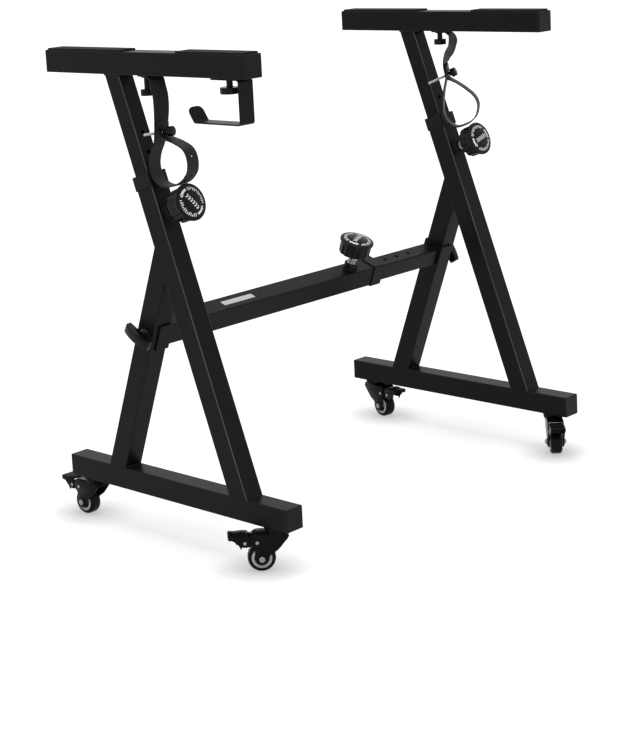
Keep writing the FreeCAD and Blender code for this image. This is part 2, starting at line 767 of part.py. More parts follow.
def strap(side):
    """Rubber strap, with holes for the screw it hangs from and for its clamp screw."""
    rows = smoothed([(right * strap_drop, -forward * strap_drop, up * strap_drop, turn) for
                     (right, forward, up), turn in zip(strap_shares[side], strap_turns[side])])
    middles = [V(*row[:3]) for row in rows]
    sections = []
    for i, row in enumerate(rows):
        turn = math.radians(row[3])
        along = (middles[min(i + 1, len(rows) - 1)] - middles[max(i - 1, 0)]).normalize()
        wide = V(math.cos(turn), math.sin(turn), 0)
        wide = (wide - along * along.dot(wide)).normalize() * (strap_width / 2)
        thick = along.cross(wide).normalize() * (strap_thickness / 2)
        corners = [middles[i] + wide * a + thick * b for a, b in ((-1, -1), (1, -1), (1, 1), (-1, 1))]
        sections.append(Part.makePolygon(corners + corners[:1]))
    shape = placed(Part.makeLoft(sections, True, True), strap_place(side))
    screw_hole = rod(strap_screw_radius + seat_clearance, -strap_thickness, strap_thickness)
    clamp_hole = rod(clamp_radius + seat_clearance, -clamp_shaft_length, clamp_shaft_length)
    return shape.cut(placed(screw_hole, strap_place(side))).cut(placed(clamp_hole, clamp_place(side)))


def clamp_screw(side):
    """Thumb screw through both layers of the strap, its bare shaft pointing back to the leg."""
    neck_start = clamp_front[side]
    head_start = neck_start + clamp_neck_length
    shaft = rod(clamp_radius, head_start - clamp_shaft_length, head_start)
    neck = rod(clamp_neck_radius, neck_start, head_start)
    head = grooved_head(clamp_head_radius, head_start, head_start + clamp_head_height)
    return placed(shaft.fuse(neck).fuse(head).removeSplitter(), clamp_place(side))


def headphone_hook():
    """Bent strip: plate under the beam, drop, shelf and upturned tip."""
    middle = part_gap + hook_thickness / 2
    points = [
        V(hook_rear_y, -middle, 0),
        V(hook_front_y, -middle, 0),
        V(hook_front_y, -hook_depth, 0),
        V(hook_tip_base_y, -hook_depth, 0),
        V(hook_tip_y, -hook_tip_depth, 0),
    ]
    shape = strip(points, hook_thickness, hook_width, hook_end_rounding, hook_bend)
    upright = FreeCAD.Rotation(Y_AXIS, Z_AXIS, X_AXIS, "XYZ")
    shape = placed(shape, FreeCAD.Placement(V(frame_x["left"], 0, top_height), upright))
    hole = rod(hook_screw_radius + seat_clearance, -hook_thickness - 2 * part_gap, 0)
    hole.translate(V(frame_x["left"], hook_screw_y, top_height))
    return shape.cut(hole)


# Casters

def caster_place(side, end):
    """Frame of a caster: Z up its swivel axis from the floor, X along its trail."""
    spot = stem_spots(side)[end]
    return shifted(spot.x, spot.y, spot.z).multiply(rotated(Z_AXIS, trail_angle[(side, end)]))


crown_top = fork_top + crown_rise
fork_underside = fork_top - fork_sheet
axle_place = shifted(trail, 0, wheel_radius).multiply(rotated(X_AXIS, 90))
pivot_place = shifted(pivot_out, 0, pivot_up).multiply(rotated(X_AXIS, 90))
fork_width = fork_gap + 2 * fork_sheet


def caster_stem():
    """Fixed stem: rivet head under the fork, shank, upper race, and the thread in the beam."""
    rivet_top = fork_underside - part_gap
    top = base_height + beam_wall + stem_nut_height + stem_tail
    return turned([
        (0, rivet_top - stem_rivet_height), (stem_rivet_radius, rivet_top - stem_rivet_height),
        (stem_rivet_radius, rivet_top), (stem_radius, rivet_top),
        (stem_radius, base_height - race_thickness), (race_radius, base_height - race_thickness),
        (race_radius, base_height), (stem_radius, base_height), (stem_radius, top), (0, top),
    ])


def fork():
    """Pressed fork with its crown, and the wheel's axle bolt and the pedal's rivet across it."""
    points = [(x * trail, z * fork_top) for x, z in fork_shares]
    shape = outline(points, fork_width)
    boss_round = placed(rod(axle_boss_radius, -fork_width / 2, fork_width / 2), axle_place)
    shape = shape.fuse(boss_round)
    high = fork_shares[0][1] * fork_top - fork_sheet
    inside = block((-overrun, overrun), (-fork_gap / 2, fork_gap / 2), (0, high))
    inside = inside.fuse(block((fork_shares[1][0] * trail, overrun), (-fork_gap / 2, fork_gap / 2),
                               (0, fork_underside)))
    crown = rod(crown_radius, fork_top - fork_sheet / 2, crown_top)
    shape = shape.cut(inside).fuse(crown)
    shape = shape.cut(rod(stem_radius + running_clearance, 0, base_height))
    shape = shape.cut(placed(rod(axle_radius + running_clearance, -fork_width, fork_width), axle_place))
    shape = shape.cut(placed(rod(rivet_radius + running_clearance, -fork_width, fork_width), pivot_place))
    axle = rod(axle_radius, -fork_width / 2, fork_width / 2)
    rivet = rod(rivet_radius, -fork_width / 2, fork_width / 2)
    for low in (-fork_width / 2 - axle_head_height, fork_width / 2):
        axle = axle.fuse(hexagon(axle_head_radius * math.sqrt(3), low, low + axle_head_height))
    for low in (-fork_width / 2 - rivet_head_height, fork_width / 2):
        rivet = rivet.fuse(rod(rivet_head_radius, low, low + rivet_head_height))
    return [shape.removeSplitter(), placed(axle.removeSplitter(), axle_place),
            placed(rivet.removeSplitter(), pivot_place)]


def tyre():
    """Black tread ring with rounded shoulders."""
    ring = rod(wheel_radius, -wheel_width / 2, wheel_width / 2)
    rims = [edge for edge in ring.Edges if edge.BoundBox.ZLength < tyre_rounding]
    ring = ring.makeFillet(tyre_rounding, rims)
    ring = ring.cut(rod(hub_radius + running_clearance, -wheel_width, wheel_width))
    return placed(ring, axle_place)


def hub():
    """Grey wheel centre with a sunk ring on each side and a boss up to the fork."""
    boss_end = fork_gap / 2 - part_gap
    shape = rod(hub_radius, -hub_width / 2, hub_width / 2)
    for low, high in ((-hub_width / 2, -hub_width / 2 + hub_recess_depth),
                      (hub_width / 2 - hub_recess_depth, hub_width / 2)):
        shape = shape.cut(rod(hub_recess_radius, low, high))
    shape = shape.fuse(rod(hub_boss_radius, -boss_end, boss_end)).removeSplitter()
    shape = shape.cut(rod(axle_radius + seat_clearance, -wheel_width, wheel_width))
    return placed(shape, axle_place)


def pedal():
    """Brake pedal: inner part between the fork's sides with the shoe, outer foot plate."""
    inner = outline([(x * trail, z * fork_top) for x, z in pedal_inner_shares], pedal_inner_width)
    outer = outline([(x * trail, z * fork_top) for x, z in pedal_outer_shares], pedal_outer_width)
    start = pedal_outer_shares[0][0] * trail + pedal_sheet
    tip = pedal_outer_shares[4][0] * trail - pedal_sheet
    half = pedal_outer_width / 2 - pedal_sheet
    roof = pedal_outer_shares[1][1] * fork_top - pedal_sheet
    pocket = block((start, tip), (-half, half), (0, roof))
    shape = inner.fuse(outer).cut(pocket).removeSplitter()
    return shape.cut(placed(rod(rivet_radius + seat_clearance, -fork_width, fork_width), pivot_place))


# Nodes

def build_nodes():
    """Every node's solids by name, in the frame whose origin is midway between the frames."""
    nodes = {"crossbar_outer": [bar_outer()], "crossbar_inner": [bar_inner()]}
    for side in ("left", "right"):
        nodes[f"base_beam_{side}"] = [base_beam(side)]
        nodes[f"base_caps_{side}"] = caps(side, base_front, base_back, base_height)
        nodes[f"long_leg_{side}"] = [long_leg(side)]
        nodes[f"rear_leg_{side}"] = [rear_leg(side)]
        nodes[f"saddle_bracket_{side}"] = [saddle(side)]
        nodes[f"upper_tube_{side}"] = [upper_tube(side)]
        nodes[f"top_beam_{side}"] = [top_beam(side)]
        nodes[f"top_caps_{side}"] = caps(side, top_front, top_back, top_height)
        nodes[f"top_pads_{side}"] = pads(side)
        nodes[f"strap_{side}"] = [strap(side)]
        nodes[f"strap_screw_{side}"] = [strap_screw(side)]
        nodes[f"clamp_screw_{side}"] = [clamp_screw(side)]
        nodes[f"t_handle_{side}"] = [t_handle(side)]
        nodes[f"t_bolt_{side}"] = t_bolt(side)
        nodes[f"height_knob_{side}"] = [placed(star_knob(), front_knob_place(side))]
        nodes[f"height_sleeve_{side}"] = [placed(pin_sleeve(), front_knob_place(side))]
        nodes[f"caster_stems_{side}"] = []
        for end in ("front", "rear"):
            place = caster_place(side, end)
            nodes[f"caster_stems_{side}"].append(placed(caster_stem(), place))
            nodes[f"fork_{side}_{end}"] = [placed(shape, place) for shape in fork()]
            nodes[f"tyre_{side}_{end}"] = [placed(tyre(), place)]
            nodes[f"hub_{side}_{end}"] = [placed(hub(), place)]
            nodes[f"pedal_{side}_{end}"] = [placed(pedal(), place)]
    nodes["tube_collars"] = [leg_collar("left"), bar_collar()]
    nodes["leg_collar_right"] = [leg_collar("right")]
    nodes["pin_bosses"] = [placed(boss(), front_knob_place("left")), placed(boss(), bar_knob_place)]
    nodes["pin_boss_right"] = [placed(boss(), front_knob_place("right"))]
    nodes["width_knob"] = [placed(star_knob(), bar_knob_place)]
    nodes["width_sleeve"] = [placed(pin_sleeve(), bar_knob_place)]
    nodes["headphone_hook"] = [headphone_hook()]
    nodes["hook_screw"] = [hook_screw()]
    return nodes


nodes = build_nodes()
whole = Part.makeCompound([solid for solids in nodes.values() for solid in solids])
box = whole.optimalBoundingBox()
origin_shift = V(-box.Center.x, -box.Center.y, -box.ZMin)
os.makedirs("parts", exist_ok=True)
for name, solids in nodes.items():
    shape = solids[0] if len(solids) == 1 else Part.makeCompound(solids)
    shape.translate(origin_shift)
    shape.exportStep(f"parts/{name}.step")
    print(name, len(shape.Solids), shape.isValid(), round(shape.Volume))
print("nodes", len(nodes), "box", box, "shift", origin_shift)
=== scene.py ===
import bisect
import math

import bmesh
import bpy
from mathutils import Matrix, Vector


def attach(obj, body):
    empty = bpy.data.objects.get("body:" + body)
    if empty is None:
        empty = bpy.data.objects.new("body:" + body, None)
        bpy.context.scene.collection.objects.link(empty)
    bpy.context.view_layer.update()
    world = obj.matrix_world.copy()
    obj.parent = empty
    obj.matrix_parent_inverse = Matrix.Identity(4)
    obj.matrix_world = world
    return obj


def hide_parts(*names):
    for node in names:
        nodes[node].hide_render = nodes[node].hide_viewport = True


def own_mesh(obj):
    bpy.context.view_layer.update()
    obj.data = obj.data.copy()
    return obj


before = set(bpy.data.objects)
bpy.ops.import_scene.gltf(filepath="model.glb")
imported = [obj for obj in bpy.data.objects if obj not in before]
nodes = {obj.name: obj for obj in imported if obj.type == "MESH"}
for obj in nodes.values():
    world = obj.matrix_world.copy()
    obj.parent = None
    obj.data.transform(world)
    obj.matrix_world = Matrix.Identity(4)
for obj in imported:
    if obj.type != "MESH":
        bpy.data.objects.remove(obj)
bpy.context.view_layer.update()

# The whole keyboard stand: two welded side frames on casters, a telescopic crossbar between them,
# and a top beam on each post. The drawing's millimetres, with X = 0 midway between the frames,
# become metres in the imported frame.
SIDES = ("left", "right")
ENDS = ("front", "rear")
OUTWARD = {"left": -1, "right": 1}
FRAME_X = {"left": -403.7, "right": 403.7}
TO_FRAME = Matrix.Scale(0.001, 4) @ Matrix.Translation((11.878917, -8.829463, 0))


# Side frames: base beams, long legs and rear legs of square mild-steel tube, mitred and welded.
# They are powder-coated matte black all over, with a fine orange peel and a slightly uneven sheen.
class Sock:
    """A shader value that adds Math nodes when it is used in an expression."""

    def __init__(self, graph, socket):
        self.graph = graph
        self.socket = socket

    def combine(self, operation, first, second):
        return self.graph.node("ShaderNodeMath", {"operation": operation}, {0: first, 1: second})["Value"]

    def __add__(self, other):
        return self.combine("ADD", self, other)

    __radd__ = __add__

    def __mul__(self, other):
        return self.combine("MULTIPLY", self, other)

    __rmul__ = __mul__

    def __rsub__(self, other):
        return self.combine("SUBTRACT", other, self)

    def __pow__(self, other):
        return self.combine("POWER", self, other)

    def larger(self, other):
        return self.combine("MAXIMUM", self, other)


class Graph:
    """The nodes of a material or a world, with one method that adds any node."""

    def __init__(self, owner):
        owner.use_nodes = True
        self.tree = owner.node_tree

    def node(self, kind, settings, values):
        """Adds a node, with its settings first and then the values or links of its sockets."""
        node = self.tree.nodes.new(kind)
        for name, value in settings.items():
            setattr(node, name, value)
        for name, value in values.items():
            self.set(node.inputs[name], value)
        return {output.name: Sock(self, output) for output in node.outputs if output.enabled}

    def set(self, target, value):
        if isinstance(value, Sock):
            self.tree.links.new(value.socket, target)
        else:
            target.default_value = value


class Finish(Graph):
    """A named material with one Principled surface."""

    def __init__(self, name, color, roughness, metallic=0.0, specular=0.5):
        self.material = bpy.data.materials.new(name)
        super().__init__(self.material)
        self.surface = self.tree.nodes["Principled BSDF"]
        constants = {"Base Color": (*color, 1), "Roughness": roughness, "Metallic": metallic,
                     "Specular IOR Level": specular}
        for socket, value in constants.items():
            self.set(self.surface.inputs[socket], value)

    def feed(self, **values):
        for name, value in values.items():
            self.set(self.surface.inputs[name.replace("_", " ")], value)

    def place(self):
        return self.node("ShaderNodeTexCoord", {}, {})["Object"]

    def noise(self, size, detail=2.0):
        """Noise whose lumps are about size metres across, from 0 to 1."""
        values = {"Vector": self.place(), "Scale": 1 / size, "Detail": detail}
        return self.node("ShaderNodeTexNoise", {}, values)["Fac"]

    def bump(self, height, depth):
        """Raises the surface by depth metres where height is 1."""
        return self.node("ShaderNodeBump", {}, {"Height": height, "Distance": depth})["Normal"]

    def shade(self, share, dark, light, start=None):
        """A colour from dark, or from another colour's socket, to light as share goes from 0 to 1."""
        values = {0: share, 6: start or (*dark, 1), 7: (*light, 1)}
        return self.node("ShaderNodeMix", {"data_type": "RGBA"}, values)["Result"]

    def corners(self):
        """0 on faces that look along X or across it, and 1 half way round a corner between them."""
        normal = self.node("ShaderNodeTexCoord", {}, {})["Normal"]
        side_way = self.node("ShaderNodeSeparateXYZ", {}, {"Vector": normal})["X"]
        square = side_way * side_way
        return 4.0 * square * (1.0 - square)

    def wear(self, *names):
        """Puts this finish on CAD nodes by name."""
        for name in names:
            nodes[name].data.materials.clear()
            nodes[name].data.materials.append(self.material)


def powder_coat(name, wear):
    """Satin black powder coat, with a highlight painted paler on the tube's rounded corners; wear sets how
    pale it gets.
    """
    finish = Finish(name, (0.006, 0.0065, 0.006), 0.36, specular=0.07)
    patches = finish.noise(0.05, 3)
    # Painted highlight: 1 half way round the tube's corners, where the coat's colour goes paler
    corner_highlight = finish.corners() * (0.25 + 0.9 * finish.noise(0.16, 1))
    black = finish.shade(patches, (0.0045, 0.005, 0.0047), (0.0075, 0.008, 0.0075))
    finish.feed(Roughness=0.3 + 0.1 * patches + 0.04 * finish.noise(0.004),
                Base_Color=finish.shade(corner_highlight, (0.0, 0.0, 0.0), (wear, wear, wear), black),
                Normal=finish.bump(finish.noise(0.0011, 1), 0.00003))
    return finish


# Second argument: paleness of the painted corner highlight, faint on the plain coat, stronger on long legs
# and upper tubes
coat = powder_coat("black_powder_coat", 0.02)
leg_coat = powder_coat("powder_coat_painted_highlight", 0.14)
for side in SIDES:
    coat.wear(f"base_beam_{side}", f"rear_leg_{side}")
    leg_coat.wear(f"long_leg_{side}")

LEAN = {"long": -19.5, "rear": 20.64}
FOOT = {"long": -161.6, "rear": 143.6}
BASE_TOP = 116.0
LEG = 40.0
WELD_HALF = 15.5
BEAD = 2.1
RIPPLE_PITCH = 2.6
RIPPLE_RISE = 0.13
# A direction that no weld runs along
ACROSS_WELDS = Vector((0.3, 0.2, 1))


def shifted(x, y, z):
    return Matrix.Translation((x, y, z))


def rotated(axis, degrees):
    return Matrix.Rotation(math.radians(degrees), 4, axis)


def leg_place(side, leg):
    """Frame of a leaning leg: Z up its axis from the base beam's top, Y to its back face."""
    return shifted(FRAME_X[side], FOOT[leg], BASE_TOP) @ rotated("X", LEAN[leg])


def piece(name, shape, finish, body, sharp=38):
    """Makes an object of a mesh in the drawing's millimetres, and lets it ride on a body."""
    bmesh.ops.remove_doubles(shape, verts=shape.verts, dist=0.001)
    bmesh.ops.recalc_face_normals(shape, faces=shape.faces)
    bmesh.ops.transform(shape, matrix=TO_FRAME, verts=shape.verts)
    mesh = bpy.data.meshes.new(name)
    shape.to_mesh(mesh)
    shape.free()
    mesh.materials.append(finish.material)
    mesh.shade_smooth()
    mesh.set_sharp_from_angle(angle=math.radians(sharp))
    thing = bpy.data.objects.new(name, mesh)
    bpy.context.scene.collection.objects.link(thing)
    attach(thing, body)
    return thing


def together(*shapes):
    """One mesh of several."""
    whole = bmesh.new()
    for shape in shapes:
        loose = bpy.data.meshes.new("loose")
        shape.to_mesh(loose)
        shape.free()
        whole.from_mesh(loose)
        bpy.data.meshes.remove(loose)
    return whole


def placed(shape, *matrices):
    whole = Matrix.Identity(4)
    for matrix in matrices:
        whole = whole @ matrix
    bmesh.ops.transform(shape, matrix=whole, verts=shape.verts)
    return shape


def swept(rings, closed=False):
    """Skin over rings of equally many points, with its ends closed where the rings aren't a loop."""
    shape = bmesh.new()
    loops = [[shape.verts.new(point) for point in ring] for ring in rings]
    pairs = list(zip(loops, loops[1:]))
    if closed:
        pairs.append((loops[-1], loops[0]))
    for one, other in pairs:
        for i in range(len(one)):
            j = (i + 1) % len(one)
            shape.faces.new((one[i], one[j], other[j], other[i]))
    if not closed:
        shape.faces.new(loops[0])
        shape.faces.new(loops[-1])
    return shape


def bead(path, closed=False, radius=BEAD, sides=8):
    """Weld bead along a path of points, rippled as the electrode was moved on."""
    points = []
    for start, end in zip(path, path[1:] + path[:1] if closed else path[1:]):
        steps = max(1, round((end - start).length / (RIPPLE_PITCH / 4)))
        points += [start.lerp(end, i / steps) for i in range(steps)]
    if not closed:
        points.append(path[-1])
    last = len(points) - 1
    angles = [2 * math.pi * k / sides for k in range(sides)]
    rings = []
    for i, point in enumerate(points):
        if closed:
            along = points[(i + 1) % len(points)] - points[i - 1]
        else:
            along = points[min(i + 1, last)] - points[max(i - 1, 0)]
        side_way = along.cross(ACROSS_WELDS).normalized()
        other_way = along.cross(side_way).normalized()
        taper = 1 if closed else min(1, 0.35 + 0.3 * min(i, last - i))
        size = radius * taper * (1 + RIPPLE_RISE * math.sin(math.pi * i / 2))
        rings.append([point + (side_way * math.cos(a) + other_way * math.sin(a)) * size for a in angles])
    return swept(rings, closed)


for side in SIDES:
    beads = []
    for leg in ("long", "rear"):
        half_foot = LEG / 2 / math.cos(math.radians(LEAN[leg]))
        for y in (FOOT[leg] - half_foot, FOOT[leg] + half_foot):
            path = [Vector((FRAME_X[side] + x, y, BASE_TOP)) for x in (-WELD_HALF, WELD_HALF)]
            beads.append(bead(path))
    # The rear leg's two edges against the long leg's back face
    to_rear = leg_place(side, "long").inverted() @ leg_place(side, "rear")
    for y in (-LEG / 2, LEG / 2):
        start = to_rear @ Vector((0, y, 0))
        way = to_rear.to_3x3() @ Vector((0, 0, 1))
        reach = (LEG / 2 - start.y) / way.y
        spot = start + way * reach
        path = [leg_place(side, "long") @ Vector((x, spot.y, spot.z)) for x in (-WELD_HALF, WELD_HALF)]
        beads.append(bead(path))
    piece(f"frame_welds_{side}", together(*beads), coat, f"{side}_frame", 80)


# End caps: black moulded plastic plugs pushed into both ends of each beam, with a satin, finely
# eroded surface.
moulded = Finish("moulded_black_plastic", (0.006, 0.006, 0.006), 0.42, specular=0.1)
moulded.feed(Roughness=0.36 + 0.12 * moulded.noise(0.012),
             Normal=moulded.bump(moulded.noise(0.0005, 1), 0.00002))
for side in SIDES:
    moulded.wear(f"base_caps_{side}", f"top_caps_{side}")


# Crossbar: an outer tube welded to the left saddle bracket and an inner tube with pin holes welded
# to the right one, both powder-coated. A bare pale plate is stuck on the outer tube's top face.
coat.wear("crossbar_outer", "crossbar_inner", "saddle_bracket_left", "saddle_bracket_right")
BAR_HEIGHT = 276.3
SADDLE = 3.0
bar_place = leg_place("left", "rear") @ shifted(-FRAME_X["left"], 0, BAR_HEIGHT)


def rounded_square(size, corner, height, steps=4):
    """Ring of points round a square tube's section, at a height on its axis."""
    ring = []
    for quarter in range(4):
        for step in range(steps + 1):
            angle = math.pi / 2 * (quarter + step / steps)
            x = math.copysign(size / 2 - corner, math.cos(math.pi / 2 * (quarter + 0.5)))
            y = math.copysign(size / 2 - corner, math.sin(math.pi / 2 * (quarter + 0.5)))
            ring.append(Vector((x + corner * math.cos(angle), y + corner * math.sin(angle), height)))
    return ring


# The right bead is low, since the collar bush comes up to it when the stand is at its narrowest
BAR_SIZE = {"left": 40.0, "right": 34.0}
TUBE_CORNER = 2.0
WELD_SINK = {"left": 0.0, "right": 1.8}
for side in SIDES:
    end = FRAME_X[side] - OUTWARD[side] * (LEG / 2 + SADDLE - WELD_SINK[side])
    section = rounded_square(BAR_SIZE[side], TUBE_CORNER, end)
    ring = [bar_place @ rotated("Y", 90) @ point for point in section]
    piece(f"saddle_weld_{side}", bead(ring, closed=True), coat, f"{side}_frame", 80)

LABEL_X = (-235.0, -155.0)
LABEL_ACROSS = (-7.0, 6.0)
LABEL_CORNER = 1.2
LABEL_THICKNESS = 0.35
LABEL_SIDE = 0.22
LABEL_BEVEL = 0.12
pale_label = Finish("bare_pale_label", (0.55, 0.56, 0.55), 0.38)
pale_label.feed(Roughness=0.33 + 0.15 * pale_label.noise(0.006))
label_middle = Vector((sum(LABEL_X) / 2, sum(LABEL_ACROSS) / 2, LEG / 2))
label_rings = []
for cut, lift in ((0.0, 0.0), (0.0, LABEL_SIDE), (LABEL_BEVEL, LABEL_THICKNESS)):
    length = LABEL_X[1] - LABEL_X[0] - 2 * cut
    width = LABEL_ACROSS[1] - LABEL_ACROSS[0] - 2 * cut
    stretch = (length - width) / 2
    label_rings.append([bar_place @ (label_middle + point + Vector((math.copysign(stretch, point.x), 0, 0)))
                        for point in rounded_square(width, LABEL_CORNER, lift)])
piece("crossbar_label", swept(label_rings), pale_label, "left_frame", 60)


# Posts: inner tubes with a row of pin holes, each welded under a square top beam, powder-coated.
# Two self-adhesive pads of ribbed black rubber lie on each beam.
for side in SIDES:
    coat.wear(f"top_beam_{side}")
    leg_coat.wear(f"upper_tube_{side}")
TOP_HEIGHT = 831.35
INNER = 34.0
POST_BEAD = 1.8
POST_BEAD_DROP = 0.6
for side in SIDES:
    place = leg_place(side, "long")
    way = place.to_3x3() @ Vector((0, 0, 1))
    ring = [place @ point for point in rounded_square(INNER, TUBE_CORNER, 0)]
    ring = [point + way * ((TOP_HEIGHT - POST_BEAD_DROP - point.z) / way.z) for point in ring]
    weld = bead(ring, closed=True, radius=POST_BEAD)
    piece(f"post_weld_{side}", weld, coat, f"top_{side}", 80)

rubber = Finish("black_rubber_pad", (0.009, 0.009, 0.009), 0.75, specular=0.12)
rubber.feed(Roughness=0.68 + 0.16 * rubber.noise(0.01),
            Base_Color=rubber.shade(rubber.noise(0.03, 3), (0.007, 0.007, 0.007), (0.012, 0.012, 0.012)),
            Normal=rubber.bump(rubber.noise(0.0009, 2), 0.0001))
for side in SIDES:
    rubber.wear(f"top_pads_{side}")


# Collar bushes: black moulded plastic sleeves pushed over the mouths of the outer tubes, so that the
# inner tubes slide without rattling.
moulded.wear("tube_collars", "leg_collar_right")


# Spring pins: a steel boss is welded to each outer tube, and a zinc-plated threaded sleeve screws
# into it. A glossy black star knob, moulded round the pin, turns and pulls on the sleeve's end.
coat.wear("pin_bosses", "pin_boss_right")
PIN_HEIGHT = 502.5
PIN_BAR_X = 120.0
BOSS = 13.0
BOSS_BEAD = 1.5
BOSS_BEAD_LIFT = 0.3
SLEEVE = 8.0
SLEEVE_PITCH = 1.25
SLEEVE_NECK = 7.3
SLEEVE_BORE = 4.15
SLEEVE_NOSE = 18.6
SLEEVE_PLAIN = 42.5
SLEEVE_END = 52.7


def turned(profile, segments=64, reach=None, loop=False):
    """Mesh turned round Z from (radius, height) points, its radius times reach(angle, height)."""
    shape = bmesh.new()
    rings = []
    for radius, height in profile:
        ring = []
        for i in range(segments if radius else 1):
            angle = 2 * math.pi * i / segments
            out = radius * (reach(angle, height) if reach else 1)
            ring.append(shape.verts.new((out * math.cos(angle), out * math.sin(angle), height)))
        rings.append(ring)
    for one, other in zip(rings, rings[1:] + rings[:1] if loop else rings[1:]):
        for i in range(segments):
            j = (i + 1) % segments
            corners = [one[i % len(one)], one[j % len(one)], other[j % len(other)], other[i % len(other)]]
            corners = [corner for k, corner in enumerate(corners) if corner not in corners[:k]]
            if len(corners) > 2:
                shape.faces.new(corners)
    return shape


def circle(radius, height, count):
    """Evenly spaced points round Z, at a height."""
    angles = [2 * math.pi * k / count for k in range(count)]
    return [Vector((radius * math.cos(a), radius * math.sin(a), height)) for a in angles]


def softened(points, radius, steps=3, closed=False):
    """Line of 2D points with its corners rounded."""
    line = [Vector(point).to_2d() for point in points]
    result = []
    for i, here in enumerate(line):
        if not closed and i in (0, len(line) - 1):
            result.append(tuple(here))
            continue
        back = line[i - 1] - here
        on = line[(i + 1) % len(line)] - here
        cut = min(radius, back.length * 0.45, on.length * 0.45)
        start = here + back.normalized() * cut
        end = here + on.normalized() * cut
        for step in range(steps + 1):
            t = step / steps
            result.append(tuple(start.lerp(here, t).lerp(here.lerp(end, t), t)))
    return result


def divided(profile, rise, steps):
    """Profile with its parts that go up or down by more than rise cut in steps."""
    rows = []
    for one, other in zip(profile, profile[1:]):
        count = steps if abs(other[1] - one[1]) > rise else 1
        rows += [(one[0] + (other[0] - one[0]) * k / count, one[1] + (other[1] - one[1]) * k / count)
                 for k in range(count)]
    return rows + [profile[-1]]


def thread(radius, low, high, pitch, depth, segments, rows=7):
    """Threaded rod on Z with chamfered ends."""
    count = round((high - low) / pitch * rows)
    rings = []
    for k in range(count + 1):
        height = low + (high - low) * k / count
        end_cut = max(0.0, depth * 1.5 - min(height - low, high - height))
        ring = []
        for i in range(segments):
            turn = i / segments
            phase = (height / pitch - turn) % 1
            out = radius - depth * min(1, max(0, 2.6 * abs(phase - 0.5) - 0.15)) - end_cut
            angle = 2 * math.pi * turn
            ring.append(Vector((out * math.cos(angle), out * math.sin(angle), height)))
        rings.append(ring)
    return swept(rings)


zinc = Finish("zinc_plate", (0.5, 0.51, 0.52), 0.3, metallic=1.0)
zinc_patches = zinc.noise(0.006, 3)
zinc.feed(Roughness=0.24 + 0.16 * zinc_patches,
          Base_Color=zinc.shade(zinc_patches, (0.36, 0.375, 0.39), (0.56, 0.56, 0.55)))
gloss = Finish("glossy_black_plastic", (0.004, 0.004, 0.004), 0.22, specular=0.12)
gloss.feed(Roughness=0.18 + 0.12 * gloss.noise(0.008, 3),
           Normal=gloss.bump(gloss.noise(0.0012, 1), 0.000012))
print_white = Finish("white_print", (0.86, 0.86, 0.84), 0.45)
print_white.feed(Roughness=0.4 + 0.15 * print_white.noise(0.003))

KNOB_BACK = 53.0
KNOB_SKIRT = 30.4
KNOB_SKIRT_END = 77.0
KNOB_RIM = 33.0
KNOB_RIM_END = 82.7
KNOB_DOME = 29.3
KNOB_TOP = 86.5
KNOB_CAVITY = 24.5
KNOB_CAVITY_DEPTH = 15
KNOB_CORE = 9.5
PIN = 4.0
PIN_NOSE = 10.0
LOBES = 12
GROOVE_SHARE = 0.075
DOME_RISE = KNOB_TOP - KNOB_RIM_END
DOME_BALL = (KNOB_DOME ** 2 + DOME_RISE ** 2) / (2 * DOME_RISE)


def lobed(angle, height):
    """Share of the radius left by the grip grooves, which end under the rim."""
    if height > KNOB_SKIRT_END - 0.4 or height < KNOB_BACK:
        return 1
    groove = max(0.0, math.cos(angle * LOBES)) ** 3
    fade = min(1, (KNOB_SKIRT_END - height) / 2)
    return 1 - GROOVE_SHARE * groove * fade


def dome_height(radius):
    return KNOB_TOP - DOME_BALL + math.sqrt(DOME_BALL ** 2 - radius ** 2)


def star_knob():
    """Knob with its pin: hollow back, lobed skirt, rim and domed face."""
    outer = softened([(24.6, KNOB_BACK), (KNOB_SKIRT - 0.6, KNOB_BACK), (KNOB_SKIRT, KNOB_SKIRT_END),
                      (KNOB_RIM, KNOB_SKIRT_END + 0.5), (KNOB_RIM, KNOB_RIM_END - 0.4),
                      (KNOB_DOME + 1.2, KNOB_RIM_END)], 1.6, 4)
    dome = [(KNOB_DOME * (1 - k / 10), dome_height(KNOB_DOME * (1 - k / 10))) for k in range(10)]
    cavity_end = KNOB_BACK + KNOB_CAVITY_DEPTH
    cavity = [(0, PIN_NOSE), (PIN - 1, PIN_NOSE), (PIN, PIN_NOSE + 1), (PIN, KNOB_BACK),
              (KNOB_CORE, KNOB_BACK), (KNOB_CORE, cavity_end), (KNOB_CAVITY, cavity_end)]
    return turned(cavity + divided(outer, 5, 6) + dome + [(0, KNOB_TOP)], 144, lobed)


def dome_patch(corners, lift=0.06):
    """Flat 2D polygon wrapped on the knob's dome."""
    shape = bmesh.new()
    verts = [shape.verts.new((x, y, dome_height(math.hypot(x, y)) + lift)) for x, y in corners]
    shape.faces.new(verts)
    return shape


# The marks on the dome, as radii in millimetres and angles in radians
ARROW_START = -0.36
ARROW_STEP = 0.08
ARROW_BAND = (21.4, 25.2)
ARROW_HEAD = (19.6, 23.3, 27.0)
HEAD_START = 0.28
HEAD_LENGTH = 0.24
TICK_START = 0.74
TICK_STEP = 0.165
TICK_FOOT = 20.6
SHORT_TICK_FOOT = 22.8
TICK_TOP = 26.4
CHEVRON_PITCH = 5.6
CHEVRON_HALF = 4.0


